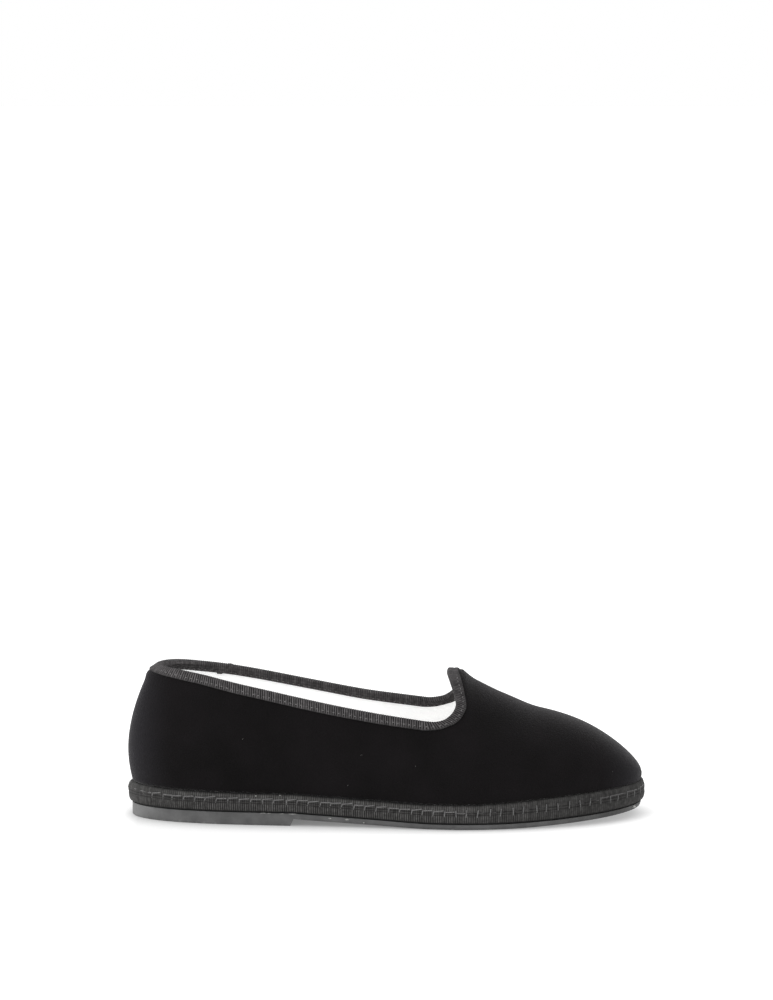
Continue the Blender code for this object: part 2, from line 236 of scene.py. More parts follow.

# Ribbon folded over the collar's edge: distance below the edge, depth out from the upper's surface, how
# strongly it is ribbed and how light its cloth is. Its selvedge is smooth, and the stitches pull it in. Its
# tone is painted darker as shade where its edges meet velvet and lining. Inside, around the heel, it is drawn
# into streaks that run along it, painted as light and shade.
BINDING_OUTSIDE = table(("below", "depth", "ribbed", "tone"), (
    (4.3, 0.1, 0.0, 0.2),
    (4.3, 0.5, 0.0, 0.45),
    (4.18, 0.7, 0.1, 0.65),
    (3.9, 0.78, 0.4, 0.75),
    (3.5, 0.82, 0.9, 0.85),
    (3.0, 0.8, 1.0, 0.95),
    (2.6, 0.64, 0.9, 1.0),
    (2.2, 0.82, 1.0, 0.95),
    (1.8, 0.86, 1.0, 0.9),
    (1.2, 0.86, 1.0, 0.9),
    (0.6, 0.84, 1.0, 0.9),
    (0.0, 0.8, 1.0, 0.85),
))
BINDING_LINED = table(("below", "depth", "ribbed", "tone", "end_tone"), (
    (0.0, 0.8, 0.4, 0.85, 0.7),
    (0.6, 0.84, 0.25, 0.7, 0.35),
    (1.3, 0.86, 0.2, 0.95, 0.8),
    (2.0, 0.86, 0.2, 0.7, 0.3),
    (2.5, 0.84, 0.2, 0.95, 0.9),
    (2.9, 0.7, 0.2, 0.8, 0.45),
    (3.3, 0.8, 0.2, 0.9, 0.85),
    (3.65, 0.76, 0.2, 0.7, 0.4),
    (3.85, 0.6, 0.0, 0.5, 0.4),
    (3.9, 0.1, 0.0, 0.3, 0.25),
))

# Cloth of the ribbon over the edge and where it is hidden against the upper, how much lighter the
# outside is around heel and toe than along the sides, and where the hidden rows lie
CROWN_CLOTH = {"ribbed": 0.6, "tone": 0.85}
HIDDEN_CLOTH = {"ribbed": 0.0, "tone": 0.3, "end_tone": 0.25}
EASED_TONE = 1.25
HIDDEN_BELOW = 1.5
HIDDEN_CLEARANCE = 0.05

# Ribs drawn with painted light on their crests and painted shade in their valleys: how narrow their crests
# are, the tone of a ribbon without ribs between valley (0) and crest (1), and the share of the ribs that
# stays where a ribbon is eased
CREST_POWER = 2.5
SMOOTH_TONE = 0.46
EASED_RIBS = 0.3

# Ramps from place to value. Ribs fade around heel and toe, over the throat's peak by the distance from the
# middle line, and inside the collar from the heel along the inner side of the foot.
RIB_FADE = ((6.0, 0.0), (36.0, 1.0), (146.0, 1.0), (236.0, 0.0))
PEAK_FADE = ((8.0, 0.0), (17.0, 1.0))
INNER_FADE = ((28.0, 0.0), (42.0, 1.0))

# Painted light and shade along the shoe: the band is painted lighter behind the heel, and both ribbons are
# painted darker ahead
COLLAR_PAINTED_SHADE = ((140.0, 1.0), (155.0, 0.78))
BAND_PAINTED_LIGHT_AND_SHADE = ((0.0, 1.25), (14.0, 1.0), (170.0, 1.0), (225.0, 0.78))

# Lap where the ribbon's two ends meet, on the inner side of the foot
LAP = {"top": 49.2, "slant": 1.5, "width": 2.3, "lift": 0.3, "drop": 0.45}

# Stitches that hold the collar's ribbon, outside and inside: distance below the edge, depth out from the
# upper's surface, side they face and thread radius. They show only where the ribbon isn't eased, and face
# along the normals of one covered row.
COLLAR_STITCHES = table(("name", "below", "depth", "face", "radius"), (
    ("collar_stitches", 2.6, 0.86, 1.0, 0.22),
    ("collar_stitches_inside", 2.9, -WALL - 0.8, -1.0, 0.14),
))
COLLAR_STITCH = {"length": 0.8, "rise": 0.12, "wobble": 0.3}
STITCHED_FADE = 0.4
FACING_ROW = EDGE_ROWS - 3

# Blanket stitch around the sole: height share of the band at which it runs, the dent that each stitch
# pulls into the band, and how uneven the hand is along the band and in height
STITCH_SHARE = 0.73
STITCH_DENT = 0.2
DENT_SPREAD = 0.09
UNEVEN_ALONG = 0.45
UNEVEN_SHARE = 0.02

# Bars and legs of that stitch: height above its line, which changes to the back and at the tip, and depth in
# from the band's outline, which changes to the back, at the tip and where the ribbon laps behind the heel
SOLE_STITCHES = table(("name", "lift", "end_lift", "depth", "back_depth", "tip_depth", "lap_depth",
                       "radius", "rise", "wobble"), (
    ("stitch_bars", -0.12, 0.12, 0.62, -0.7, -0.32, 0.5, 0.3, 0.14, 0.09),
    ("stitch_legs", 0.06, -0.04, -0.1, 0.3, 0.3, 0.3, 0.32, 0.22, 0.18),
))
STITCH_BACK = ((135.0, 1.0), (175.0, 0.0))
STITCH_TIP = ((222.0, 0.0), (234.0, 1.0))
STITCH_LAPPED = ((7.0, 1.0), (11.0, 0.0))

# To the back the bars climb along their run, and the legs slant against it and lean in. A bar spans most of
# its spacing.
BAR_CLIMB = 0.06
BAR_SPAN = 0.85
LEG_SLANT = 0.25
LEG_LEAN = 0.12

# Swell of the band behind the heel: its height by place along the shoe, and the share of the band's height
# around which it spreads
HEEL_SWELL = ((0.5, 0.6), (3.0, 0.0))
SWELL_SHARE = 0.72
SWELL_SPREAD = 0.22

# Soft swells and hollows of the stuffed upper: where they lie, how far they reach, how high they stand.
# Those of one side fade out over a width at the middle line.
SOFT_FORMS = table(("x", "z", "side", "along", "up", "height"), (
    (140.0, 20.0, BOTH, 34.0, 7.0, 0.45),
    (78.0, 42.0, LATERAL, 30.0, 14.0, -0.5),
    (80.0, 42.0, MEDIAL, 30.0, 14.0, -0.5),
    (168.0, 38.0, BOTH, 12.0, 10.0, -0.4),
    (30.0, 26.0, LATERAL, 22.0, 9.0, 0.3),
    (205.0, 22.0, LATERAL, 22.0, 8.0, 0.3),
    (165.2, 71.0, BOTH, 2.2, 5.0, 0.7),
    (8.0, 71.0, BOTH, 9.0, 2.4, 0.8),
    (10.0, 76.0, BOTH, 9.0, 2.6, -0.9),
    (180.0, 62.0, BOTH, 9.0, 8.0, 0.35),
    (252.0, 21.5, BOTH, 8.0, 6.0, 0.3),
))
SIDE_BLEND = 6.0

# Bits of lint caught in the pile of the outer side, each a bowed fibre that stands off the velvet
LINT = table(("x", "z", "length", "turn"), (
    (57.4, 43.1, 0.9, 70.0),
    (116.7, 36.5, 1.0, 15.0),
    (109.2, 21.0, 0.8, 50.0),
    (142.0, 32.0, 0.8, 100.0),
    (239.9, 26.0, 0.7, 30.0),
))
LINT_BOW = 0.25
LINT_STANDOFF = 0.2
LINT_RADIUS = 0.11

# Dried cement in the seam over the heel's breast, on the arch and at the toe, and two specks at the band's
# edge: place along the shoe, height above the floor, depth in from the band's outline, and size
CEMENT = table(("x", "z", "inset", "length", "height"), (
    (67.6, 6.1, 1.85, 3.4, 0.22),
    (70.6, 6.1, 1.85, 1.8, 0.2),
    (76.6, 6.1, 1.85, 2.8, 0.16),
    (82.2, 6.05, 1.85, 4.6, 0.2),
    (100.4, 4.3, 1.8, 1.5, 0.4),
    (108.9, 3.9, 1.8, 2.2, 0.45),
    (117.1, 2.5, 1.95, 0.9, 0.35),
    (250.4, 5.8, 1.9, 2.6, 0.8),
    (64.0, 14.9, 0.7, 0.6, 0.32),
    (75.9, 15.4, 1.0, 0.5, 0.25),
))

# Half thickness of the cement, and the share of a half turn by which each lump's tips are cut off
CEMENT_DEPTH = 0.3
DROP_TIP = 1.0 / 42.0

# Play between velvet and lining, and the share of the heel's edge rounding that its breast has
LINING_PLAY = 0.05
BREAST_ROUNDING = 0.3

# Photograph's frame in pixels, its scale at the shoe, and the row on which the aimed height lies
FRAME_WIDTH = 773
FRAME_HEIGHT = 1000
PIXELS_PER_METRE = 2016.0
AIM_ROW = 739.3

# Width of the camera's sensor in millimetres
SENSOR = 36.0

# How far the camera sees, half side of the paper floor, and where the broad light comes from, in metres
VIEW_END = 50.0
FLOOR_REACH = 4.0
KEY_FROM = (-0.9, -0.2, 0.8)


def smooth_curve(knots, values):
    """Cubic through the points that stays between neighbouring values."""
    knots = np.asarray(knots, dtype=float)
    values = np.asarray(values, dtype=float)
    steps = np.diff(knots)
    slopes = np.diff(values) / steps
    tangents = np.zeros(len(knots))
    tangents[0] = slopes[0]
    tangents[-1] = slopes[-1]
    for i in range(1, len(knots) - 1):
        if slopes[i - 1] * slopes[i] > 0.0:
            before = 2.0 * steps[i] + steps[i - 1]
            after = steps[i] + 2.0 * steps[i - 1]
            mean = before / slopes[i - 1] + after / slopes[i]
            tangents[i] = (before + after) / mean

    def curve(at):
        i = np.clip(np.searchsorted(knots, at) - 1, 0, len(steps) - 1)
        t = np.clip((at - knots[i]) / steps[i], 0.0, 1.0)
        start = (1.0 + 2.0 * t) * (1.0 - t) ** 2 * values[i]
        end = t * t * (3.0 - 2.0 * t) * values[i + 1]
        bend = t * (1.0 - t) ** 2 * tangents[i] - t * t * (1.0 - t) * tangents[i + 1]
        return start + end + bend * steps[i]

    return curve


section = {name: smooth_curve(SECTIONS["x"], values) for name, values in SECTIONS.items() if name != "x"}
quarter_height = smooth_curve(QUARTER_EDGE["x"], QUARTER_EDGE["height"])
QUARTER_END = QUARTER_EDGE["x"][-1]


def ramp(at, knots):
    """Value of a ramp, straight between its knots and level beyond them."""
    return np.interp(at, *zip(*knots))


def bell(at, middle, spread):
    return math.exp(-((at - middle) / spread) ** 2)


def round_off(t, power):
    """Superellipse that falls from 1 to 0 as t goes from 0 to 1."""
    return (1.0 - np.clip(t, 0.0, 1.0) ** power) ** (1.0 / power)


def toe_share(x):
    """How far along the toe's rounding a station lies."""
    return (x - (LENGTH - TOE_ROUND)) / TOE_ROUND


def arch_share(x):
    """How far a station lies from the heel's breast to the arch's end."""
    return np.clip((x - HEEL_BREAST) / (ARCH_END - HEEL_BREAST), 0.0, 1.0)


def underside(x):
    """Height of the outsole's bottom above the floor."""
    arch = (HEEL_LIFT + GAP) * (1.0 - arch_share(x)) ** ARCH_POWER
    ahead = np.clip((x - FLAT_END) / (LENGTH - FLAT_END), 0.0, None)
    return arch + TOE_SPRING * ahead ** SPRING_POWER


def band_bottom(x):
    return underside(x) + OUTSOLE + GAP


def feather(x):
    """Height of the upper's lower edge, where it sits on the band."""
    return band_bottom(x) + section["band"](x) + GAP


def belly(x):
    """Height at which the upper is widest."""
    return feather(x) + section["belly"](x)


def half_width(x, side):
    """Half width of the last at its belly, rounded off at heel and toe."""
    width = section["lateral" if side == LATERAL else "medial"](x)
    return width * round_off(1.0 - x / HEEL_ROUND, 2.0) * round_off(toe_share(x), TOE_PLAN_POWER)


def ridge(x):
    """Height of the section's crown, which also rounds off at the toe."""
    return belly(x) + (section["ridge"](x) - belly(x)) * round_off(toe_share(x), TOE_RIDGE_POWER)


def share_of(part, whole):
    """Ratio that is 0 where the whole is 0."""
    return np.divide(part, whole, out=np.zeros_like(whole), where=whole > 0.0)


def lean(x, z):
    """Forward shift of the heel's back at a height, with its bound collar pulled in at the top."""
    above = np.clip(z - belly(x), 0.0, None) / LEAN_HEIGHT
    over = np.clip(z - TURN_START, 0.0, None) / TURN_HEIGHT
    reach = np.clip(1.0 - x / LEAN_REACH, 0.0, None)
    return (HEEL_LEAN * above ** LEAN_POWER + COLLAR_TURN * over ** TURN_POWER) * reach ** 2


def half_stations():
    """Belly stations from the heel's back to the toe's tip, closer at both ends."""
    turn = 0.5 * np.pi * np.arange(HEEL_STEPS) / HEEL_STEPS
    heel = HEEL_ROUND * (1.0 - np.cos(turn))
    quarter = np.linspace(HEEL_ROUND, QUARTER_END, QUARTER_STEPS, endpoint=False)
    sweep = np.linspace(0.0, 0.5 * np.pi, FRONT_STEPS + 1)
    front = QUARTER_END + (LENGTH - QUARTER_END) * np.sin(sweep)
    return np.concatenate((heel, quarter, front))


def around(half):
    """Join lateral and medial halves into one loop that starts at the heel's back."""
    return np.concatenate((half(LATERAL), half(MEDIAL)[-2:0:-1]))


def quarter_share(x):
    """Half-width share at which the section reaches the quarter's edge height."""
    rise = (quarter_height(x) - belly(x)) / (ridge(x) - belly(x))
    return round_off(rise, section["roundness"](x))


def throat_points(side):
    """Top-edge plan points around one half of the throat, evenly spaced."""
    stations = np.array([QUARTER_END, *THROAT_EDGE["x"]])
    shares = np.array([quarter_share(QUARTER_END), *THROAT_EDGE["width_share"]])
    across = shares * half_width(stations, side)
    knots = np.concatenate(([0.0], np.cumsum(np.hypot(np.diff(stations), np.diff(across)))))
    steps = np.linspace(0.0, knots[-1], FRONT_STEPS + 1)
    along_x = smooth_curve(knots, stations)(steps)
    along_y = smooth_curve(knots, across)(steps)
    return np.stack((along_x, side * along_y), axis=1)


def half_belly(side):
    """Plan points along one half of the last at its belly."""
    x = half_stations()
    return np.stack((x, side * half_width(x, side)), axis=1)


def half_wall(side):
    """Points up one half of the wall, from the belly to the top edge, station by station."""
    bottom = half_belly(side)
    top = bottom * np.stack((np.ones(len(bottom)), quarter_share(bottom[:, 0])), axis=1)
    top[HEEL_STEPS + QUARTER_STEPS:] = throat_points(side)
    share = share_of(np.abs(top[:, 1]), half_width(top[:, 0], side))
    power = section["roundness"](top[:, 0])[:, None]
    sweep = np.arccos(np.clip(share[:, None] ** (0.5 * power), 0.0, 1.0))
    climb = np.linspace(0.0, 1.0, ARC_SAMPLES)
    reach = (1.0 - np.cos(sweep * climb) ** (2.0 / power)) / (1.0 - share[:, None])
    plan = bottom[:, None] + (top - bottom)[:, None] * reach[..., None]
    plan_x = plan[..., 0]
    plan_y = plan[..., 1]
    out = share_of(np.abs(plan_y), half_width(plan_x, side))
    height = belly(plan_x) + (ridge(plan_x) - belly(plan_x)) * round_off(out, section["roundness"](plan_x))
    height[0] = belly(0.0) + climb * (quarter_height(0.0) - belly(0.0))
    return np.stack((plan_x + lean(plan_x, height), plan_y, height), axis=-1)


def unit(vectors):
    return vectors / np.linalg.norm(vectors, axis=-1, keepdims=True)


def inward(loop):
    """Unit plan directions pointing into a loop that runs heel, lateral, toe, medial."""
    tangent = np.roll(loop, -1, axis=0) - np.roll(loop, 1, axis=0)
    return unit(np.stack((-tangent[:, 1], tangent[:, 0]), axis=1))


def inset_loop(loop, distance):
    return loop + inward(loop) * np.reshape(distance, (-1, 1))


@functools.cache
def feather_loop():
    """Plan outline of the upper's lower edge, tucked in under the belly."""
    loop = around(half_belly)
    return inset_loop(loop, section["tuck"](loop[:, 0]))


@functools.cache
def band_loop():
    """Plan outline of the band, which stands out beyond the upper."""
    return inset_loop(feather_loop(), -LEDGE)


@functools.cache
def row_shift():
    """Shift from the last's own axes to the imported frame's, in millimetres."""
    middle = 0.5 * (band_loop().min(axis=0) + band_loop().max(axis=0))
    low, high = (np.array(corner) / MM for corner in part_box("midsole"))
    return np.append(0.5 * (low + high)[:2] - middle, 0.0)


def run_lengths(points):
    """Length run along rows of points, from 0 at the first."""
    steps = np.linalg.norm(np.diff(points, axis=-2), axis=-1)
    start = np.zeros(steps.shape[:-1] + (1,))
    return np.concatenate((start, np.cumsum(steps, axis=-1)), axis=-1)


def along_row(points, lengths, marks):
    """Points at the given lengths along one row."""
    return np.stack([np.interp(marks, lengths, points[:, axis]) for axis in range(points.shape[1])], axis=1)


def closed_row(row):
    """Points around a loop, with the first once more at the end."""
    return np.concatenate((row, row[:1]))


def loop_length(loop):
    return run_lengths(closed_row(loop))[-1]


def even_marks(length, count):
    return np.linspace(0.0, length, count, endpoint=False)


def even_loop(loop, count):
    """Points evenly spaced around a closed loop."""
    lengths = run_lengths(closed_row(loop))
    return along_row(closed_row(loop), lengths, even_marks(lengths[-1], count))


def grid_normals(grid):
    """Outward unit normals of a grid whose rows go up and whose columns go around."""
    across = np.roll(grid, -1, axis=1) - np.roll(grid, 1, axis=1)
    up = np.gradient(grid, axis=0)
    return unit(np.cross(across, up))


def soft_rise(grid):
    """Height of the soft swells and hollows over a grid."""
    rise = np.zeros(grid.shape[:2])
    for x, z, side, along, up, height in zip(*SOFT_FORMS.values()):
        near = ((grid[..., 0] - x) / along) ** 2 + ((grid[..., 2] - z) / up) ** 2
        share = 1.0 if side == BOTH else np.clip(0.5 + side * grid[..., 1] / SIDE_BLEND, 0.0, 1.0)
        rise += height * np.exp(-near) * share
    return rise


@functools.cache
def upper_surface():
    """Rows of the upper's outer surface from its lower edge to its top edge, and their normals."""
    walls = around(half_wall)
    body = np.linspace(0.0, 1.0, WALL_ROWS, endpoint=False)
    covered = BINDING_WIDTH * np.linspace(1.0, 0.0, EDGE_ROWS + 1)
    columns = []
    for wall, length in zip(walls, run_lengths(walls)):
        marks = np.concatenate(((length[-1] - BINDING_WIDTH) * body, length[-1] - covered))
        columns.append(along_row(wall, length, marks))
    wall_rows = np.stack(columns, axis=1)
    loop = wall_rows[0, :, :2]
    x = loop[:, 0]
    foot = []
    for i in range(FOOT_ROWS):
        drop = 1.0 - i / FOOT_ROWS
        ring = inset_loop(loop, section["tuck"](x) * drop ** 2)
        foot.append(np.column_stack((ring, belly(x) + (feather(x) - belly(x)) * drop)))
    grid = np.concatenate((np.array(foot), wall_rows))
    grid = grid + grid_normals(grid) * soft_rise(grid)[..., None]
    return grid, grid_normals(grid)


def grid_faces(rows, columns, closed):
    """Quads over rings of points; closed joins the last ring to the first."""
    row, column = np.meshgrid(np.arange(rows if closed else rows - 1), np.arange(columns), indexing="ij")
    next_row = (row + 1) % rows
    next_column = (column + 1) % columns
    corners = ((row, column), (row, next_column), (next_row, next_column), (next_row, column))
    return np.stack([(r * columns + c).ravel() for r, c in corners], axis=1).tolist()


def cap_faces(start, size, upward):
    """Strips from the lateral to the medial half that close a ring."""
    faces = []
    for j in range(size // 2):
        ring = [j, j + 1, size - j - 1, (size - j) % size]
        corners = [start + k for k in dict.fromkeys(ring)]
        faces.append(corners if upward else corners[::-1])
    return faces


def new_piece(name, points, faces, material, sharp_angle=None):
    """Make a smooth-shaded object at the origin from millimetre points of the last."""
    mesh = bpy.data.meshes.new(name)
    mesh.from_pydata(((points.reshape(-1, 3) + row_shift()) * MM).tolist(), [], faces, shade_flat=False)
    if sharp_angle is not None:
        mesh.set_sharp_from_angle(angle=math.radians(sharp_angle))
    mesh.materials.append(material)
    piece = bpy.data.objects.new(name, mesh)
    bpy.context.scene.collection.objects.link(piece)
    return piece


def seat_piece(piece, slot, *nodes):
    """Fix a finished piece to the shoe and hide the solids it stands for."""
    if not piece.data.polygons:
        raise RuntimeError(f"{piece.name} came out empty")
    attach(piece, BODY)
    if nodes:
        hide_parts(*nodes)


def set_attribute(piece, name, values, kind="FLOAT"):
    """Store one number or vector for each point of a piece."""
    attribute = piece.data.attributes.new(name, kind, "POINT")
    field = "vector" if kind == "FLOAT_VECTOR" else "value"
    attribute.data.foreach_set(field, np.asarray(values, dtype=np.float32).ravel())


def layer_piece(name, rings, material, sharp_angle=40.0):
    """Closed layer through rings that go from its bottom to its top."""
    rows, size = rings.shape[:2]
    faces = grid_faces(rows, size, closed=False)
    faces += cap_faces(0, size, upward=False)
    faces += cap_faces((rows - 1) * size, size, upward=True)
    return new_piece(name, rings, faces, material, sharp_angle)


def tube_piece(name, tubes, material):
    """Closed tubes, each through its rings of points, joined in one piece."""
    count, rings, sides = tubes.shape[:3]
    size = rings * sides
    tube = grid_faces(rings, sides, closed=False)
    tube.append(list(range(sides))[::-1])
    tube.append(list(range(size - sides, size)))
    faces = [[k * size + corner for corner in face] for k in range(count) for face in tube]
    return new_piece(name, tubes, faces, material)


def side_rings(outline, shares, insets, bottom, thickness):
    """Rings of a layer's side, each let in and lifted by a share of the layer's thickness."""
    rings = []
    for share, inset in zip(shares, insets):
        loop = inset_loop(outline, inset)
        rings.append(np.column_stack((loop, bottom(loop[:, 0]) + share * thickness(loop[:, 0]))))
    return np.array(rings)


def linear_rgb(code):
    """Linear colour of an sRGB hex value."""
    channels = [int(code[i:i + 2], 16) / 255.0 for i in (0, 2, 4)]
    return [c / 12.92 if c <= 0.04045 else ((c + 0.055) / 1.055) ** 2.4 for c in channels] + [1.0]


def per_metre(size):
    """Texture scale that gives a pattern of this size in millimetres."""
    return 1.0 / (size * MM)


def connect(tree, node, links):
    """Link inputs to sockets, or to other nodes, which stand for their first output in use."""
    for name, source in links.items():
        if isinstance(source, bpy.types.Node):
            source = next(socket for socket in source.outputs if socket.enabled)
        tree.links.new(source, node.inputs[name])


def add_node(tree, kind, values=None, links=None, **settings):
    """Add a node with its settings, input values and links."""
    node = tree.nodes.new(kind)
    for name, value in settings.items():
        setattr(node, name, value)
    for name, value in (values or {}).items():
        node.inputs[name].default_value = value
    connect(tree, node, links or {})
    return node


def new_material(name, roughness, **constants):
    """Material with its tree, its shader with plain numbers on its own sockets, and Object coordinates."""
    material = bpy.data.materials.new(name)
    material.use_nodes = True
    tree = material.node_tree
    shader = tree.nodes["Principled BSDF"]
    shader.inputs["Roughness"].default_value = roughness
    for socket, value in constants.items():
        shader.inputs[socket.replace("_", " ")].default_value = value
    return material, tree, shader, add_node(tree, "ShaderNodeTexCoord").outputs["Object"]


def black_cotton_velvet(colours):
    """Cut cotton pile: almost no light comes back square on, and its edges glow softly at a slant."""
    material, tree, shader, place = new_material(
        "black_cotton_velvet", 1.0, Specular_IOR_Level=0.08,
        Sheen_Weight=0.21, Sheen_Roughness=0.35, Sheen_Tint=linear_rgb("dcdadc"))
    # Single tufts are finer than a pixel, so the pile is drawn as clumps of 0.7 mm
    stroke, clump, streak = (
        add_node(tree, "ShaderNodeTexNoise", {"Scale": per_metre(size), "Detail": detail}, {"Vector": place})
        for size, detail in ((22.0, 3.0), (0.7, 2.0), (1.6, 3.0)))
    brushed = add_node(tree, "ShaderNodeMath", {1: 0.45}, {0: clump, 2: stroke}, operation="MULTIPLY_ADD")
    nap = add_node(tree, "ShaderNodeMapRange", {"From Min": 0.45, "From Max": 0.95}, {"Value": brushed})
    pile = add_node(tree, "ShaderNodeMix", {"A": colours.velvet_deep, "B": colours.velvet_nap},
                    {"Factor": nap}, data_type="RGBA")
    # Painted sheen: around heel and toe the velvet's colour is lightened towards grey, unevenly
    spot = add_node(tree, "ShaderNodeSeparateXYZ", links={"Vector": place})
    reach = add_node(tree, "ShaderNodeMath", links={0: spot.outputs["X"]}, operation="ABSOLUTE")
    end = add_node(tree, "ShaderNodeMapRange", {"From Min": 104.0 * MM, "From Max": 132.0 * MM},
                   {"Value": reach}, interpolation_type="SMOOTHSTEP")
    uneven = add_node(tree, "ShaderNodeMapRange", {"From Min": 0.3, "From Max": 0.7, "To Min": 0.75},
                      {"Value": streak})
    painted_sheen = add_node(tree, "ShaderNodeMath", links={0: end, 1: uneven}, operation="MULTIPLY")
    shown = add_node(tree, "ShaderNodeMix", {"B": colours.velvet_painted_sheen}, {"A": pile, "Factor": painted_sheen},
                     data_type="RGBA")
    bump = add_node(tree, "ShaderNodeBump", {"Strength": 0.8, "Distance": 0.4 * MM}, {"Height": clump})
    connect(tree, shader, {"Base Color": shown, "Normal": bump})
    return material


def black_grosgrain_ribbon(name, crest, painted_valley_shade):
    """Woven ribbon with raised cross ribs: dull crests painted light, and the valleys between them painted
    dark as shade.
    """
    material, tree, shader, place = new_material(
        name, 0.7, Specular_IOR_Level=0.08,
        Sheen_Weight=0.08, Sheen_Roughness=0.35, Sheen_Tint=linear_rgb("e2e2e6"))
    rib, along, tone = (
        add_node(tree, "ShaderNodeAttribute", attribute_name=attribute).outputs["Fac"]
        for attribute in ("rib", "along", "tone"))
    yarn = add_node(tree, "ShaderNodeTexNoise", {"Scale": per_metre(1.5), "Detail": 2.0}, {"Vector": place})
    worn = add_node(tree, "ShaderNodeMapRange",
                    {"From Min": 0.3, "From Max": 0.7, "To Min": 0.62, "To Max": 1.22}, {"Value": yarn})
    # Every rib takes the dye a little differently
    number = add_node(tree, "ShaderNodeMath", links={0: along}, operation="FLOOR")
    dye = add_node(tree, "ShaderNodeTexWhiteNoise", links={"W": number}, noise_dimensions="1D")
    taken = add_node(tree, "ShaderNodeMapRange", {"To Min": 0.8, "To Max": 1.2}, {"Value": dye})
    # The rib attribute is painted light on the crests and painted shade in the valleys
    shown = rib
    # The tone attribute carries painted light and shade from the ribbon tables and ramps
    for factor in (worn, taken, tone):
        shown = add_node(tree, "ShaderNodeMath", links={0: shown, 1: factor}, operation="MULTIPLY")
    cloth = add_node(tree, "ShaderNodeMix", {"A": painted_valley_shade, "B": crest}, {"Factor": shown}, data_type="RGBA",
                     clamp_factor=False)
    bump = add_node(tree, "ShaderNodeBump", {"Strength": 0.35, "Distance": 0.12 * MM}, {"Height": yarn})
    connect(tree, shader, {"Base Color": cloth, "Normal": bump})
    return material


def waxed_cotton_thread(name, colour):
    """Twisted thread drawn through wax: darker in its twist, with a dull shine."""
    material, tree, shader, place = new_material(name, 0.5, Specular_IOR_Level=0.35, Sheen_Weight=0.05)
    twist = add_node(tree, "ShaderNodeTexNoise", {"Scale": per_metre(0.8), "Detail": 2.0}, {"Vector": place})
    shade = add_node(tree, "ShaderNodeMapRange",
                     {"From Min": 0.3, "From Max": 0.7, "To Min": 0.45, "To Max": 1.15}, {"Value": twist})
    # Painted shade: towards the toe the thread is darker
    spot = add_node(tree, "ShaderNodeSeparateXYZ", links={"Vector": place})
    painted_toe_shade = add_node(tree, "ShaderNodeMapRange",
                     {"From Min": 30.0 * MM, "From Max": 100.0 * MM, "To Min": 1.0, "To Max": 0.55},
                     {"Value": spot.outputs["X"]})
    shown = add_node(tree, "ShaderNodeMath", links={0: shade, 1: painted_toe_shade}, operation="MULTIPLY")
    spun = add_node(tree, "ShaderNodeMix", {"A": linear_rgb("000000"), "B": colour}, {"Factor": shown},
                    data_type="RGBA")
    bump = add_node(tree, "ShaderNodeBump", {"Strength": 0.4, "Distance": 0.1 * MM}, {"Height": twist})
    connect(tree, shader, {"Base Color": spun, "Normal": bump})
    return material


def woven_cotton(name, light, shade, painted_glow):
    """Plain-woven cotton, whitened, with a painted glow that brightens it: matt white with a fine grid of
    threads.
    """
    material, tree, shader, place = new_material(
        name, 0.9, Specular_IOR_Level=0.2, Sheen_Weight=0.15, Sheen_Roughness=0.5,
        Emission_Color=linear_rgb("ffffff"), Emission_Strength=painted_glow)
    # Threads of 0.4 mm are too fine to show, so the weave is drawn at 0.9 mm. A wave texture has about
    # pi bands per unit of its scale.
    weave = per_metre(0.9) / math.pi
    warp, weft = (
        add_node(tree, "ShaderNodeTexWave", {"Scale": weave, "Distortion": 0.6, "Detail": 1.0},
                 {"Vector": place}, wave_type="BANDS", bands_direction=axis).outputs["Fac"]
        for axis in ("X", "Z"))
    grid = add_node(tree, "ShaderNodeMath", links={0: warp, 1: weft}, operation="ADD")
    # Painted shade: the cloth's colour darkens towards its shaded colour in the hollows of the soft folds,
    # which the same noise raises as bumps
    fold = add_node(tree, "ShaderNodeTexNoise", {"Scale": per_metre(16.0), "Detail": 2.0}, {"Vector": place})
    tone = add_node(tree, "ShaderNodeMapRange", {"From Min": 0.3, "From Max": 0.75, "To Max": 0.7},
                    {"Value": fold})
    threads = add_node(tree, "ShaderNodeMath", {1: 0.15}, {0: grid, 2: tone}, operation="MULTIPLY_ADD")
    cloth = add_node(tree, "ShaderNodeMix", {"A": shade, "B": light}, {"Factor": threads}, data_type="RGBA")
    thread_bump = add_node(tree, "ShaderNodeBump", {"Strength": 0.25, "Distance": 0.1 * MM}, {"Height": grid})
    fold_bump = add_node(tree, "ShaderNodeBump", {"Strength": 0.5, "Distance": 1.2 * MM},
                         {"Height": fold, "Normal": thread_bump})
    connect(tree, shader, {"Base Color": cloth, "Normal": fold_bump})
    return material


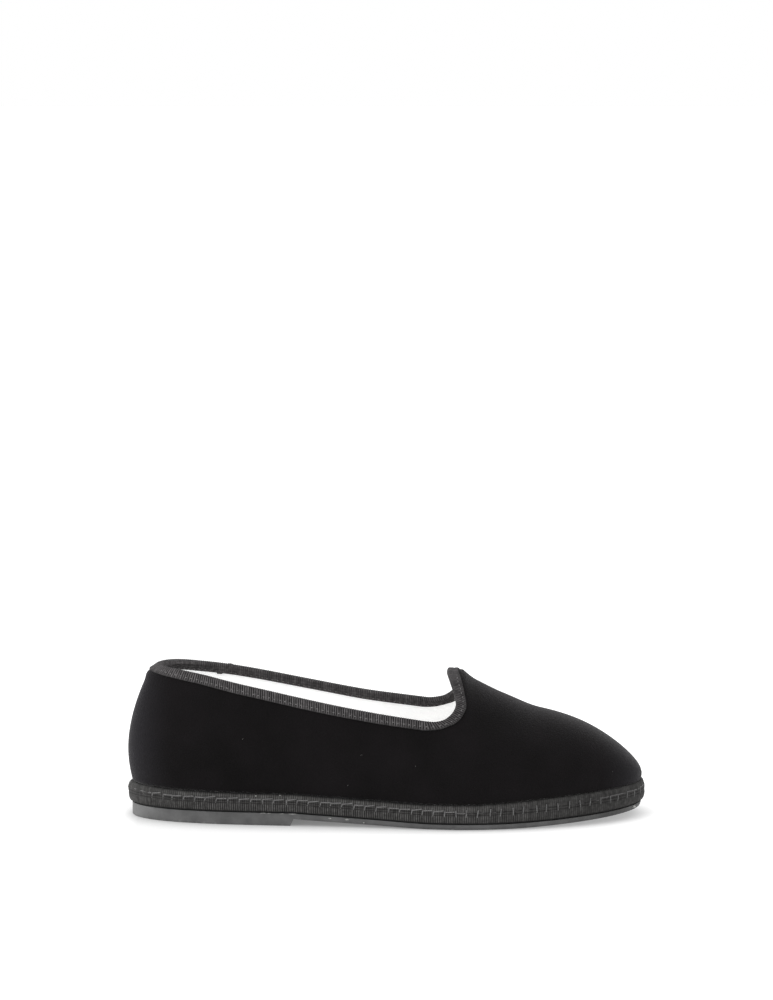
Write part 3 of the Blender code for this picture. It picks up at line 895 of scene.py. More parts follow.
def moulded_sole_rubber(colours):
    """Matt grey rubber with fine grit, greyed by handling and scuffed pale along its lower edge, with a
    painted highlight at the heel's back and painted shade towards the toe.
    """
    material, tree, shader, place = new_material("moulded_sole_rubber", 0.7, Specular_IOR_Level=0.35)
    grit, cloud, rub = (
        add_node(tree, "ShaderNodeTexNoise",
                 {"Scale": per_metre(size), "Detail": detail, "Roughness": roughness}, {"Vector": place})
        for size, detail, roughness in ((0.6, 3.0, 0.5), (9.0, 5.0, 0.62), (2.6, 5.0, 0.5)))
    tone = add_node(tree, "ShaderNodeMapRange", {"From Min": 0.32, "From Max": 0.68}, {"Value": cloud})
    # Painted highlight: the back of the heel is paler. Painted shade: the toe is darker.
    spot = add_node(tree, "ShaderNodeSeparateXYZ", links={"Vector": place})
    painted_heel_light = add_node(tree, "ShaderNodeMapRange",
                        {"From Min": -105.0 * MM, "From Max": -128.0 * MM, "To Max": 1.3},
                        {"Value": spot.outputs["X"]}, interpolation_type="SMOOTHSTEP")
    # Painted shade: this ramp darkens the rubber towards the toe
    handled = add_node(tree, "ShaderNodeMapRange",
                       {"From Min": 60.0 * MM, "From Max": 115.0 * MM, "To Max": -0.75},
                       {"Value": spot.outputs["X"]})
    ends = add_node(tree, "ShaderNodeMath", links={0: painted_heel_light, 1: handled}, operation="ADD")
    mottle_with_painted_light_and_shade = add_node(tree, "ShaderNodeMath", links={0: tone, 1: ends}, operation="ADD")
    rubber = add_node(tree, "ShaderNodeMix", {"A": colours.rubber, "B": colours.rubber_pale},
                      {"Factor": mottle_with_painted_light_and_shade}, data_type="RGBA", clamp_factor=False)
    low = add_node(tree, "ShaderNodeMapRange", {"From Min": 1.6 * MM, "From Max": 0.2 * MM},
                   {"Value": spot.outputs["Z"]})
    patch = add_node(tree, "ShaderNodeMapRange", {"From Min": 0.56, "From Max": 0.7}, {"Value": rub})
    scuff = add_node(tree, "ShaderNodeMath", links={0: low, 1: patch}, operation="MULTIPLY")
    worn = add_node(tree, "ShaderNodeMix", {"B": colours.scuff}, {"A": rubber, "Factor": scuff},
                    data_type="RGBA")
    bump = add_node(tree, "ShaderNodeBump", {"Strength": 0.45, "Distance": 0.15 * MM}, {"Height": grit})
    connect(tree, shader, {"Base Color": worn, "Normal": bump})
    return material


def dried_sole_cement(colours):
    """Smears of dried cement: a chalky off-white film, thin at its edges."""
    material, tree, shader, place = new_material("dried_sole_cement", 0.55)
    chalk = add_node(tree, "ShaderNodeTexNoise", {"Scale": per_metre(0.8), "Detail": 3.0}, {"Vector": place})
    tone = add_node(tree, "ShaderNodeMapRange", {"From Min": 0.35, "From Max": 0.65}, {"Value": chalk})
    film = add_node(tree, "ShaderNodeMix", {"A": colours.rubber_pale, "B": colours.cement},
                    {"Factor": tone}, data_type="RGBA")
    connect(tree, shader, {"Base Color": film})
    return material


def white_studio_paper(colours):
    """White paper, matt and bright, with painted shadow close under the shoe and a painted glow that lightens
    it towards the toe and behind the heel.
    """
    material, tree, shader, place = new_material(
        "white_studio_paper", 0.95, Specular_IOR_Level=0.1, Emission_Strength=1.0)
    spot = add_node(tree, "ShaderNodeSeparateXYZ", links={"Vector": place})
    # Painted light: the paper glows more towards the toe and behind the heel
    painted_toe_glow = add_node(tree, "ShaderNodeMapRange",
                        {"From Min": -130.0 * MM, "From Max": 130.0 * MM, "To Min": 0.07, "To Max": 0.4},
                        {"Value": spot.outputs["X"]})
    painted_heel_glow = add_node(tree, "ShaderNodeMapRange",
                         {"From Min": -120.0 * MM, "From Max": -136.0 * MM, "To Max": 0.45},
                         {"Value": spot.outputs["X"]})
    painted_glow = add_node(tree, "ShaderNodeMath", links={0: painted_toe_glow, 1: painted_heel_glow}, operation="MAXIMUM")
    fibre = add_node(tree, "ShaderNodeTexNoise", {"Scale": per_metre(40.0), "Detail": 2.0},
                     {"Vector": place})
    sheet = add_node(tree, "ShaderNodeMix", {"A": colours.paper, "B": linear_rgb("f6f6f6")},
                     {"Factor": fibre}, data_type="RGBA")
    # Painted shadow: close beside the sole, where ambient occlusion finds it, the paper's colour turns to its
    # shaded colour
    sky = add_node(tree, "ShaderNodeAmbientOcclusion", {"Distance": 18.0 * MM}, samples=12)
    clear_of_painted_shadow = add_node(tree, "ShaderNodeMapRange", {"From Min": 0.3, "From Max": 0.95},
                   {"Value": sky.outputs["AO"]})
    shown = add_node(tree, "ShaderNodeMix", {"A": colours.paper_painted_shadow}, {"B": sheet, "Factor": clear_of_painted_shadow},
                     data_type="RGBA")
    connect(tree, shader, {"Base Color": shown, "Emission Color": painted_glow})
    return material


def new_tree(name, inputs):
    """Geometry tree that takes a shape, named inputs and a material, and the sockets that hold them."""
    tree = bpy.data.node_groups.new(name, "GeometryNodeTree")
    tree.interface.new_socket("Geometry", in_out="OUTPUT", socket_type="NodeSocketGeometry")
    for label, kind in (("Geometry", "Geometry"), *inputs, ("Material", "Material")):
        tree.interface.new_socket(label, in_out="INPUT", socket_type=f"NodeSocket{kind}")
    return tree, add_node(tree, "NodeGroupInput").outputs


def end_tree(tree, geometry, material):
    """Make instances real, give the material and close the tree."""
    real = add_node(tree, "GeometryNodeRealizeInstances", links={"Geometry": geometry})
    dressed = add_node(tree, "GeometryNodeSetMaterial", links={"Geometry": real, "Material": material})
    add_node(tree, "NodeGroupOutput", links={"Geometry": dressed})
    return tree


@functools.cache
def ribbed_ribbon_tree():
    """Raise rounded cross ribs on a ribbon by its count of ribs, and note their painted light and shade for
    its material.
    """
    tree, given = new_tree("Ribbed ribbon", (("Rib Height", "Float"),))
    along, cover = (
        add_node(tree, "GeometryNodeInputNamedAttribute", {"Name": name}, data_type="FLOAT")
        for name in ("along", "ribbed"))
    turn = add_node(tree, "ShaderNodeMath", {1: math.pi}, {0: along}, operation="MULTIPLY")
    wave = add_node(tree, "ShaderNodeMath", links={0: turn}, operation="SINE")
    hump = add_node(tree, "ShaderNodeMath", links={0: wave}, operation="ABSOLUTE")
    crest = add_node(tree, "ShaderNodeMath", {1: CREST_POWER}, {0: hump}, operation="POWER")
    # Where the ribbon is smooth its tone lies between crest and valley
    flat = add_node(tree, "ShaderNodeMath", {1: SMOOTH_TONE}, {0: crest}, operation="SUBTRACT")
    drawn = add_node(tree, "ShaderNodeMath", links={0: flat, 1: cover}, operation="MULTIPLY")
    tone = add_node(tree, "ShaderNodeMath", {1: SMOOTH_TONE}, {0: drawn}, operation="ADD")
    noted = add_node(tree, "GeometryNodeStoreNamedAttribute", {"Name": "rib"},
                     {"Geometry": given["Geometry"], "Value": tone}, data_type="FLOAT", domain="POINT")
    rise = add_node(tree, "ShaderNodeMath", links={0: drawn, 1: given["Rib Height"]}, operation="MULTIPLY")
    out = add_node(tree, "GeometryNodeInputNormal")
    push = add_node(tree, "ShaderNodeVectorMath", links={0: out, "Scale": rise}, operation="SCALE")
    raised = add_node(tree, "GeometryNodeSetPosition", links={"Geometry": noted, "Offset": push})
    return end_tree(tree, raised, given["Material"])


@functools.cache
def stitch_tree():
    """Lay one bowed length of thread at every point, along its run and with its back to the cloth."""
    tree, given = new_tree("Stitch", (
        ("Stitch Length", "Float"),
        ("Thread Radius", "Float"),
        ("Rise", "Float"),
        ("Wobble", "Float"),
        ("Seed", "Int"),
    ))
    half = add_node(tree, "ShaderNodeMath", {1: 0.5}, {0: given["Stitch Length"]}, operation="MULTIPLY")
    sink, low = (
        add_node(tree, "ShaderNodeMath", {1: -1.0}, {0: given[name]}, operation="MULTIPLY")
        for name in ("Rise", "Wobble"))
    start = add_node(tree, "ShaderNodeCombineXYZ", links={"Z": sink})
    middle = add_node(tree, "ShaderNodeCombineXYZ", links={"X": half, "Z": given["Rise"]})
    end = add_node(tree, "ShaderNodeCombineXYZ", links={"X": given["Stitch Length"], "Z": sink})
    path = add_node(tree, "GeometryNodeCurveQuadraticBezier", {"Resolution": THREAD_STEPS},
                    {"Start": start, "Middle": middle, "End": end})
    round_thread = add_node(tree, "GeometryNodeCurvePrimitiveCircle", {"Resolution": THREAD_SIDES},
                            {"Radius": given["Thread Radius"]}, mode="RADIUS")
    thread = add_node(tree, "GeometryNodeCurveToMesh", {"Fill Caps": True},
                      {"Curve": path, "Profile Curve": round_thread})
    run, out = (
        add_node(tree, "GeometryNodeInputNamedAttribute", {"Name": name}, data_type="FLOAT_VECTOR")
        for name in ("run", "out"))
    facing = add_node(tree, "FunctionNodeAxesToRotation", links={"Primary Axis": run, "Secondary Axis": out},
                      primary_axis="X", secondary_axis="Z")
    sway = add_node(tree, "FunctionNodeRandomValue",
                    links={"Min": low, "Max": given["Wobble"], "Seed": given["Seed"]}, data_type="FLOAT")
    tilt = add_node(tree, "ShaderNodeCombineXYZ", links={"Z": sway})
    twist = add_node(tree, "FunctionNodeEulerToRotation", links={"Euler": tilt})
    turned = add_node(tree, "FunctionNodeRotateRotation", links={"Rotation": facing, "Rotate By": twist},
                      rotation_space="LOCAL")
    placed = add_node(tree, "GeometryNodeInstanceOnPoints",
                      links={"Points": given["Geometry"], "Instance": thread, "Rotation": turned})
    return end_tree(tree, placed, given["Material"])


def apply_tree(piece, tree, inputs):
    """Run a geometry tree on a piece and keep the result as the piece's own plain mesh."""
    modifier = piece.modifiers.new(tree.name, "NODES")
    modifier.node_group = tree
    sockets = {item.name: item.identifier for item in tree.interface.items_tree if item.in_out == "INPUT"}
    for name, value in inputs.items():
        modifier[sockets[name]] = value
    depsgraph = bpy.context.evaluated_depsgraph_get()
    made = bpy.data.meshes.new_from_object(piece.evaluated_get(depsgraph), depsgraph=depsgraph)
    piece.modifiers.remove(modifier)
    spare = piece.data
    piece.data = made
    bpy.data.meshes.remove(spare)
    made.name = piece.name


def tint(name, description, code):
    """Colour that a user can change, from an sRGB hex value."""
    return FloatVectorProperty(
        name=name, description=description, subtype="COLOR", size=4, min=0.0, max=1.0,
        default=linear_rgb(code))


def metres(name, description, default):
    """Length that a user can change."""
    return FloatProperty(name=name, description=description, unit="LENGTH", default=default)


def degrees(name, description, default):
    """Angle that a user can change."""
    return FloatProperty(name=name, description=description, subtype="ANGLE", default=math.radians(default))


class SlipperColours(bpy.types.PropertyGroup):
    """Colours of the slipper's cloths, threads and rubber"""

    velvet_deep: tint("Velvet, deep", "Pile seen end on", "0d0c0c")
    velvet_nap: tint("Velvet, nap", "Pile brushed aside", "141213")
    # Painted sheen: the lighter velvet colour mixed in around heel and toe
    velvet_painted_sheen: tint("Velvet, rubbed", "Pile rubbed upright around heel and toe", "252427")
    # Crest colours are painted light on the ribs, and valley colours are painted shade between them
    ribbon: tint("Ribbon crests", "Raised ribs of the collar's ribbon", "666364")
    ribbon_painted_valley_shade: tint("Ribbon valleys", "Between the ribs of the collar's ribbon", "040404")
    band: tint("Band crests", "Raised ribs of the sole band", "585756")
    band_painted_valley_shade: tint("Band valleys", "Between the ribs of the sole band", "060606")
    sole_thread: tint("Sole thread", "Blanket stitch around the sole", "6a6969")
    collar_thread: tint("Collar thread", "Stitches that hold the collar's ribbon", "6e6c6c")
    lining: tint("Lining", "White cotton inside", "fdfdfd")
    lining_shade: tint("Lining, shaded", "White cotton in its soft folds", "f6f7f8")
    footbed: tint("Footbed", "Cotton under the foot", "f5f4f1")
    footbed_shade: tint("Footbed, shaded", "Cotton under the foot between its threads", "e7e5e1")
    rubber: tint("Rubber", "Outsole and heel", "4f4f4f")
    # Also the colour of the painted highlight at the heel's back
    rubber_pale: tint("Rubber, greyed", "Outsole and heel where handled", "646464")
    scuff: tint("Scuffs", "Rubbed spots along the sole's lower edge", "767675")
    cement: tint("Cement", "Dried cement in the sole's seam", "b8b8b4")
    lint: tint("Lint", "Pale fibres caught in the pile", "504e4d")
    paper: tint("Paper", "Studio floor", "f2f2f2")
    paper_painted_shadow: tint("Paper, shaded", "Studio floor close under the shoe", "b8b8b8")


class SlipperSizes(bpy.types.PropertyGroup):
    """Sizes of the slipper's cloths, ribs and stitches"""

    velvet: metres("Velvet", "Thickness of velvet and padding", 1.1 * MM)
    rib_pitch: metres("Collar rib pitch", "Spacing of the ribbon's ribs", 1.13 * MM)
    rib_height: metres("Collar rib height", "Height of the ribbon's ribs", 0.3 * MM)
    band_rib_pitch: metres("Band rib pitch", "Spacing of the ribs around the sole", 1.1 * MM)
    band_rib_height: metres("Band rib height", "Height of the ribs around the sole", 0.26 * MM)
    collar_stitch: metres("Collar stitch", "Spacing of the stitches in the ribbon", 2.7 * MM)
    sole_stitch: metres("Sole stitch", "Spacing of the blanket stitches", 5.7 * MM)
    sole_leg: metres("Stitch leg", "Drop of each blanket stitch", 3.7 * MM)
    seed: IntProperty(name="Seed", description="Seed of the stitches' unevenness", default=7)


class SlipperStage(bpy.types.PropertyGroup):
    """Camera and light"""

    distance: metres("Distance", "From the camera to the shoe", 3.0)
    elevation: degrees("Elevation", "Camera's angle above level", 11.0)
    aim_height: metres("Aim height", "Height of the point the framing is set from", 37.4 * MM)
    sky: FloatProperty(name="Sky", description="Strength of the even white surround", default=1.0)
    key: FloatProperty(name="Key", description="Strength of the broad light from above", default=1.2)
    key_spread: degrees("Key spread", "Angle that the broad light fills", 70.0)


def make_upper(sizes, colours):
    """Velvet shell, with its cotton lining as a second shell inside it."""
    grid, normals = upper_surface()
    velvet = sizes.velvet / MM
    # The lining gets a painted glow, as if lit from within
    lining = woven_cotton("white_lining_cotton", colours.lining, colours.lining_shade, painted_glow=0.19)
    shells = (
        ("velvet_upper", 0.0, velvet, black_cotton_velvet(colours), "upper", ("upper",)),
        ("cotton_lining", velvet + LINING_PLAY, WALL, lining, "insole", ()),
    )
    for name, outer, inner, material, slot, nodes in shells:
        rows = np.concatenate((grid - normals * outer, (grid - normals * inner)[::-1]))
        piece = new_piece(name, rows, grid_faces(len(rows), rows.shape[1], closed=True), material)
        seat_piece(piece, slot, *nodes)


def collar_edge(count):
    """Covered rows of the collar and their normals, at places evenly spaced along its edge."""
    grid, normals = (layer[-EDGE_ROWS - 1:] for layer in upper_surface())
    lengths = run_lengths(closed_row(grid[-1]))
    marks = even_marks(lengths[-1], count)
    rows, turned = (
        np.array([along_row(closed_row(row), lengths, marks) for row in layer]) for layer in (grid, normals))
    return rows, unit(turned)


def ribbon_points(rows, normals, below, depth):
    """Points a distance below the collar's edge and a depth out from the upper's surface."""
    place = (BINDING_WIDTH - below) / BINDING_WIDTH * EDGE_ROWS
    i = min(int(place), EDGE_ROWS - 1)
    t = place - i
    point = rows[i] * (1.0 - t) + rows[i + 1] * t
    return point + unit(normals[i] * (1.0 - t) + normals[i + 1] * t) * depth


def collar_fade(edge):
    """1 where the collar's ribs stand full, and 0 around the heel and over the throat's peak."""
    peak = ramp(np.abs(edge[:, 1]), PEAK_FADE)
    return np.minimum(ramp(edge[:, 0], RIB_FADE), np.where(edge[:, 0] > QUARTER_END, peak, 1.0))


def inner_fade(edge):
    """0 around the heel, further along the inner side, where the folded-in ribbon is drawn smooth."""
    return np.where(edge[:, 1] > 0.0, ramp(edge[:, 0], INNER_FADE), 1.0)


def lap_share(edge, below):
    """1 where the ribbon's slanted end lies over its start, and 0 elsewhere."""
    start = LAP["top"] - LAP["slant"] * below
    lapped = (edge[:, 0] > start) & (edge[:, 0] < start + LAP["width"]) & (edge[:, 1] > 0.0)
    return lapped[:, None].astype(float)


def finish_ribbon(piece, samples, fade, shade, profile, height):
    """Give a ribbon its count of ribs, its cover and its tone for every point, and raise the ribs."""
    ribbed, sides, ends = (np.reshape(profile[name], (-1, 1)) for name in ("ribbed", "tone", "end_tone"))
    set_attribute(piece, "along", np.tile(np.arange(len(shade)) / samples, len(ribbed)))
    set_attribute(piece, "ribbed", ribbed * (EASED_RIBS + (1.0 - EASED_RIBS) * fade))
    # The tone holds the profiles' painted light and shade, times the painted ramp along the shoe
    set_attribute(piece, "tone", (sides * fade + ends * (1.0 - fade)) * shade)
    apply_tree(piece, ribbed_ribbon_tree(), {"Rib Height": height, "Material": piece.data.materials[0]})


def sew(name, points, run, out, slot, inputs):
    """Lay a stitch at each point, along its run and facing out."""
    piece = new_piece(name, points, [], inputs["Material"])
    set_attribute(piece, "run", run, "FLOAT_VECTOR")
    set_attribute(piece, "out", out, "FLOAT_VECTOR")
    apply_tree(piece, stitch_tree(), inputs)
    seat_piece(piece, slot)


def make_binding(sizes, colours):
    """Grosgrain ribbon folded over the collar's edge, and the stitches that hold it."""
    collar_length = loop_length(upper_surface()[0][-1])
    ribs = round(collar_length / (sizes.rib_pitch / MM))
    rows, normals = collar_edge(ribs * RIB_SAMPLES)
    edge = rows[-1]
    out = normals[-1]
    climb = edge - rows[-2]
    climb = unit(climb - out * np.sum(climb * out, axis=1, keepdims=True))
    middle = edge - out * (0.5 * WALL)
    spread = 0.5 * WALL + BINDING_OUTSIDE["depth"][-1]
    lift = lap_share(edge, 0.0) * LAP["lift"]

    outside = [ribbon_points(rows, normals, below, depth) + out * lift
               for below, depth in zip(BINDING_OUTSIDE["below"], BINDING_OUTSIDE["depth"])]
    crown = []
    for turn in np.linspace(0.0, np.pi, CROWN_STEPS + 1)[1:-1]:
        sideways = out * math.cos(turn) * (spread + lift)
        upward = climb * math.sin(turn) * (BINDING_CROWN + lift)
        crown.append(middle + sideways + upward)
    lined = []
    for below, depth in zip(BINDING_LINED["below"], BINDING_LINED["depth"]):
        hang = climb * LAP["drop"] * below / BINDING_INSIDE + out * LAP["lift"]
        lined.append(ribbon_points(rows, normals, below, -WALL - depth) - hang * lap_share(edge, below))
    hidden = [
        ribbon_points(rows, normals, HIDDEN_BELOW, -WALL - HIDDEN_CLEARANCE),
        middle,
        ribbon_points(rows, normals, HIDDEN_BELOW, HIDDEN_CLEARANCE),
    ]

    profile = {}
    for name in ("ribbed", "tone"):
        profile[name] = BINDING_OUTSIDE[name] + [CROWN_CLOTH[name]] * len(crown)
    profile["end_tone"] = [EASED_TONE * tone for tone in profile["tone"]]
    for name, column in profile.items():
        column += BINDING_LINED[name] + [HIDDEN_CLOTH[name]] * len(hidden)
    rings = np.array(outside + crown + lined + hidden)
    ribbon = black_grosgrain_ribbon("black_grosgrain_ribbon", colours.ribbon, colours.ribbon_painted_valley_shade)
    piece = new_piece("collar_ribbon", rings, grid_faces(*rings.shape[:2], closed=True), ribbon)
    fade = np.tile(collar_fade(edge), (len(rings), 1))
    fade[len(outside):] = np.minimum(fade[len(outside):], inner_fade(edge))
    finish_ribbon(piece, RIB_SAMPLES, fade, ramp(edge[:, 0], COLLAR_PAINTED_SHADE), profile, sizes.rib_height)
    seat_piece(piece, "collar_binding", "collar_binding")

    rows, normals = collar_edge(round(collar_length / (sizes.collar_stitch / MM)))
    shown = collar_fade(rows[-1]) > STITCHED_FADE
    thread = waxed_cotton_thread("collar_cotton_thread", colours.collar_thread)
    for name, below, depth, face, radius in zip(*COLLAR_STITCHES.values()):
        points = ribbon_points(rows, normals, below, depth)
        run = np.roll(points, -1, axis=0) - points
        sew(name, points[shown], run[shown], normals[FACING_ROW][shown] * face, "collar_binding", {
            "Stitch Length": COLLAR_STITCH["length"] * MM, "Thread Radius": radius * MM,
            "Rise": COLLAR_STITCH["rise"] * MM, "Wobble": COLLAR_STITCH["wobble"],
            "Seed": sizes.seed, "Material": thread})


def make_band(sizes, colours):
    """Ribbon-bound sole band with its ribs, seam and blanket stitch."""
    band_length = loop_length(band_loop())
    ribs = round(band_length / (sizes.band_rib_pitch / MM))
    stitches = round(band_length / (sizes.sole_stitch / MM))
    outline = even_loop(band_loop(), ribs * BAND_RIB_SAMPLES)
    x = outline[:, 0]
    pull = 0.5 + 0.5 * np.cos(2.0 * np.pi * stitches * np.arange(len(x)) / len(x))
    swell = ramp(x, HEEL_SWELL)
    insets = []
    for share, inset in zip(BAND_PROFILE["share"], BAND_PROFILE["inset"]):
        dent = STITCH_DENT * pull * bell(share, STITCH_SHARE, DENT_SPREAD)
        insets.append(inset + dent - swell * bell(share, SWELL_SHARE, SWELL_SPREAD))
    rings = side_rings(outline, BAND_PROFILE["share"], insets, band_bottom, section["band"])
    ribbon = black_grosgrain_ribbon("black_sole_ribbon", colours.band, colours.band_painted_valley_shade)
    piece = layer_piece("sole_band", rings, ribbon, sharp_angle=70.0)
    finish_ribbon(piece, BAND_RIB_SAMPLES, ramp(x, RIB_FADE), ramp(x, BAND_PAINTED_LIGHT_AND_SHADE), BAND_PROFILE,
                  sizes.band_rib_height)
    seat_piece(piece, "midsole", "midsole")

    thread = waxed_cotton_thread("waxed_sole_thread", colours.sole_thread)
    spots = even_loop(band_loop(), stitches)
    out = np.column_stack((-inward(spots), np.zeros(stitches)))
    level = unit(np.roll(spots, -1, axis=0) - spots)
    ahead = np.column_stack((level, np.zeros(stitches)))
    # Towards the heel the bars lie proud and the legs sink in, towards the toe the legs lie proud
    back, tip, lapped = (ramp(spots[:, 0], knots) for knots in (STITCH_BACK, STITCH_TIP, STITCH_LAPPED))
    uneven = np.random.default_rng(sizes.seed).uniform(-1.0, 1.0, (2, stitches))
    spots = spots + level * (back + UNEVEN_ALONG * uneven[0])[:, None]
    sink = back[:, None]
    runs = {
        "stitch_bars": (ahead + UP * BAR_CLIMB * sink, BAR_SPAN * band_length / stitches * MM),
        "stitch_legs": (-UP - (ahead * LEG_SLANT + out * LEG_LEAN) * sink, sizes.sole_leg),
    }
    for i, row in enumerate(zip(*SOLE_STITCHES.values())):
        name, lift, end_lift, depth, back_depth, tip_depth, lap_depth, radius, rise, wobble = row
        share = STITCH_SHARE + UNEVEN_SHARE * uneven[1] + lift + end_lift * (back + tip)
        inset = depth + back_depth * back + tip_depth * tip + lap_depth * lapped
        points = side_rings(spots, [share], [inset], band_bottom, section["band"])[0]
        run, stitch_length = runs[name]
        sew(name, points, run, out, "midsole", {
            "Stitch Length": stitch_length, "Thread Radius": radius * MM, "Rise": rise * MM,
            "Wobble": wobble, "Seed": sizes.seed + i, "Material": thread})


def make_insole(colours):
    """Thin cotton footbed inside the upper."""
    outline = inset_loop(feather_loop(), WALL + INSOLE_CLEARANCE)
    rings = side_rings(outline, INSOLE_PROFILE["share"], INSOLE_PROFILE["inset"], feather, lambda x: INSOLE)
    cotton = woven_cotton("natural_footbed_cotton", colours.footbed, colours.footbed_shade, painted_glow=0.0)
    seat_piece(layer_piece("cotton_footbed", rings, cotton), "insole", "insole")


def half_at(loop, x):
    """How far out the first half of a loop lies at a station."""
    half = len(loop) // 2 + 1
    return np.interp(x, loop[:half, 0], loop[:half, 1])


def seat_ring(loop, front, count):
    """Back part of a sole outline, cut straight across at its front."""
    medial = np.roll(loop[::-1], 1, axis=0)
    corners = [(front, half_at(side, front)) for side in (loop, medial)]
    return np.array([*loop[:count], *corners, *loop[-count + 1:]])


def cement_drop(middle, radii):
    """Rings of a small rounded lump, along its length."""
    swing = np.pi * np.linspace(DROP_TIP, 1.0 - DROP_TIP, DROP_RINGS)[:, None]
    turn = 2.0 * np.pi * np.arange(DROP_SIDES) / DROP_SIDES
    lengthwise = -np.cos(swing) * np.ones(DROP_SIDES)
    return middle + radii * np.stack(
        (lengthwise, np.sin(swing) * np.cos(turn), np.sin(swing) * np.sin(turn)), axis=-1)


def make_rubber(colours):
    """Rubber outsole, the heel lift under it, and dried cement in their seam."""
    rubber = moulded_sole_rubber(colours)
    outline = inset_loop(band_loop(), OUTSOLE_INSET)
    insets = np.outer(OUTSOLE_PROFILE["inset"], arch_share(outline[:, 0]))
    rings = side_rings(outline, OUTSOLE_PROFILE["share"], insets, underside, lambda x: OUTSOLE)
    seat_piece(layer_piece("rubber_outsole", rings, rubber), "outsole", "outsole")

    # The heel's sides stop short of its sloped breast
    count = int(np.sum(half_stations() < HEEL_BREAST - 2.0 * BREAST_SLOPE))
    rings = []
    for share, inset in zip(HEEL_PROFILE["share"], HEEL_PROFILE["inset"]):
        front = HEEL_BREAST - BREAST_SLOPE * (1.0 - share) - BREAST_ROUNDING * inset
        ring = seat_ring(inset_loop(outline, inset), front, count)
        rings.append(np.column_stack((ring, np.full(len(ring), share * (HEEL_LIFT + GAP)))))
    seat_piece(layer_piece("rubber_heel", np.array(rings), rubber), "heel", "heel")

    drops = []
    for x, z, inset, long, high in zip(*CEMENT.values()):
        y = half_at(inset_loop(band_loop(), inset), x)
        drops.append(cement_drop(np.array((x, y, z)), np.array((0.5 * long, CEMENT_DEPTH, high))))
    seat_piece(tube_piece("cement_smears", np.array(drops), dried_sole_cement(colours)), "outsole")


def make_lint(colours):
    """Short pale fibres caught in the velvet."""
    grid, normals = upper_surface()
    outer = grid[..., 1] < 0.0
    turns = 2.0 * np.pi * np.arange(LINT_SIDES) / LINT_SIDES
    fibres = []
    for x, z, long, turn in zip(*LINT.values()):
        gap = np.where(outer, np.hypot(grid[..., 0] - x, grid[..., 2] - z), np.inf)
        spot = np.unravel_index(np.argmin(gap), gap.shape)
        normal = normals[spot]
        level = unit(np.cross(UP, normal))
        rise = np.cross(normal, level)
        along = level * math.cos(math.radians(turn)) + rise * math.sin(math.radians(turn))
        across = np.cross(normal, along)
        ring = LINT_RADIUS * (np.outer(np.cos(turns), across) + np.outer(np.sin(turns), normal))
        fibre = []
        for t in np.linspace(0.0, 1.0, LINT_RINGS):
            bow = LINT_BOW * long * math.sin(math.pi * t)
            core = grid[spot] + along * (long * (t - 0.5)) + across * bow + normal * LINT_STANDOFF
            fibre.append(core + ring)
        fibres.append(fibre)
    lint = waxed_cotton_thread("cotton_lint", colours.lint)
    seat_piece(tube_piece("lint", np.array(fibres), lint), "upper")


def make_stage(stage, colours):
    """White paper floor, even surround, one large soft light and the camera."""
    scene = bpy.context.scene
    scene.view_settings.view_transform = "Standard"
    corners = [(x * FLOOR_REACH, y * FLOOR_REACH, 0.0) for x, y in ((-1, -1), (1, -1), (1, 1), (-1, 1))]
    mesh = bpy.data.meshes.new("paper_floor")
    mesh.from_pydata(corners, [], [(0, 1, 2, 3)])
    mesh.materials.append(white_studio_paper(colours))
    floor = bpy.data.objects.new("paper_floor", mesh)
    scene.collection.objects.link(floor)

    world = bpy.data.worlds.new("white_surround")
    world.use_nodes = True
    surround = world.node_tree.nodes["Background"]
    surround.inputs["Color"].default_value = linear_rgb("ffffff")
    surround.inputs["Strength"].default_value = stage.sky
    scene.world = world

    lamp = bpy.data.lights.new("soft_key", "SUN")
    lamp.energy = stage.key
    lamp.angle = stage.key_spread
    key = bpy.data.objects.new("soft_key", lamp)
    key.location = KEY_FROM
    key.rotation_euler = (-key.location).to_track_quat("-Z", "Y").to_euler()
    scene.collection.objects.link(key)

    focal = PIXELS_PER_METRE * stage.distance
    camera_data = bpy.data.cameras.new("camera")
    camera_data.sensor_width = SENSOR
    camera_data.lens = focal * SENSOR / max(FRAME_WIDTH, FRAME_HEIGHT)
    camera_data.clip_end = VIEW_END
    off_axis = math.atan((AIM_ROW - 0.5 * FRAME_HEIGHT) / focal)
    ray = stage.distance / math.cos(off_axis)
    back = ray * math.cos(stage.elevation)
    camera = bpy.data.objects.new("camera", camera_data)
    camera.location = (0.0, -back, stage.aim_height + ray * math.sin(stage.elevation))
    camera.rotation_euler = (0.5 * math.pi - (stage.elevation - off_axis), 0.0, 0.0)
    scene.collection.objects.link(camera)
    scene.camera = camera


class SLIPPER_OT_upper(bpy.types.Operator):
    """Make the velvet upper and its cotton lining"""
    bl_idname = "slipper.upper"
    bl_label = "Upper and lining"

    def execute(self, context):
        make_upper(context.scene.slipper_sizes, context.scene.slipper_colours)
        return {"FINISHED"}


class SLIPPER_OT_binding(bpy.types.Operator):
    """Make the collar's ribbon and its stitches"""
    bl_idname = "slipper.binding"
    bl_label = "Collar ribbon"

    def execute(self, context):
        make_binding(context.scene.slipper_sizes, context.scene.slipper_colours)
        return {"FINISHED"}


class SLIPPER_OT_band(bpy.types.Operator):
    """Make the ribbed sole band and its blanket stitch"""
    bl_idname = "slipper.band"
    bl_label = "Sole band"

    def execute(self, context):
        make_band(context.scene.slipper_sizes, context.scene.slipper_colours)
        return {"FINISHED"}


class SLIPPER_OT_insole(bpy.types.Operator):
    """Make the cotton footbed"""
    bl_idname = "slipper.insole"
    bl_label = "Footbed"

    def execute(self, context):
        make_insole(context.scene.slipper_colours)
        return {"FINISHED"}


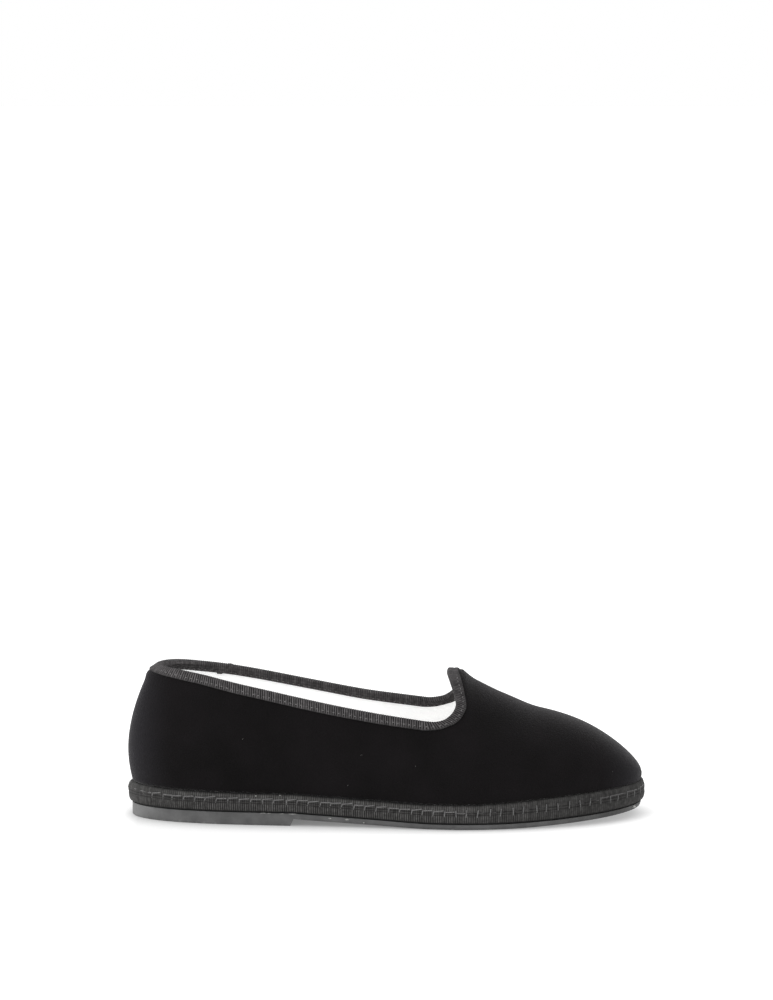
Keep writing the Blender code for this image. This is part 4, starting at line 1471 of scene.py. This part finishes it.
class SLIPPER_OT_rubber(bpy.types.Operator):
    """Make the rubber outsole, heel lift and cement"""
    bl_idname = "slipper.rubber"
    bl_label = "Rubber sole"

    def execute(self, context):
        make_rubber(context.scene.slipper_colours)
        return {"FINISHED"}


class SLIPPER_OT_lint(bpy.types.Operator):
    """Make the lint on the velvet"""
    bl_idname = "slipper.lint"
    bl_label = "Lint"

    def execute(self, context):
        make_lint(context.scene.slipper_colours)
        return {"FINISHED"}


class SLIPPER_OT_stage(bpy.types.Operator):
    """Make the floor, the light and the camera"""
    bl_idname = "slipper.stage"
    bl_label = "Stage"

    def execute(self, context):
        make_stage(context.scene.slipper_stage, context.scene.slipper_colours)
        return {"FINISHED"}


GROUPS = (
    ("slipper_colours", SlipperColours),
    ("slipper_sizes", SlipperSizes),
    ("slipper_stage", SlipperStage),
)
OPERATORS = (
    SLIPPER_OT_upper,
    SLIPPER_OT_binding,
    SLIPPER_OT_band,
    SLIPPER_OT_insole,
    SLIPPER_OT_rubber,
    SLIPPER_OT_lint,
    SLIPPER_OT_stage,
)


class SLIPPER_PT_panel(bpy.types.Panel):
    """Sidebar list of the slipper's pieces and settings"""
    bl_label = "Velvet slipper"
    bl_idname = "SLIPPER_PT_panel"
    bl_space_type = "VIEW_3D"
    bl_region_type = "UI"
    bl_category = "Slipper"

    def draw(self, context):
        for operator in OPERATORS:
            self.layout.operator(operator.bl_idname)
        for name, group in GROUPS:
            box = self.layout.box()
            for setting in group.__annotations__:
                box.prop(getattr(context.scene, name), setting)


def register():
    for name, group in GROUPS:
        bpy.utils.register_class(group)
        setattr(bpy.types.Scene, name, PointerProperty(type=group))
    for item in (*OPERATORS, SLIPPER_PT_panel):
        bpy.utils.register_class(item)


def unregister():
    for item in (SLIPPER_PT_panel, *reversed(OPERATORS)):
        bpy.utils.unregister_class(item)
    for name, group in reversed(GROUPS):
        delattr(bpy.types.Scene, name)
        bpy.utils.unregister_class(group)


def main():
    register()
    bpy.ops.slipper.stage()
    bpy.ops.slipper.upper()
    bpy.ops.slipper.binding()
    bpy.ops.slipper.band()
    bpy.ops.slipper.insole()
    bpy.ops.slipper.rubber()
    bpy.ops.slipper.lint()


if __name__ == "__main__":
    main()
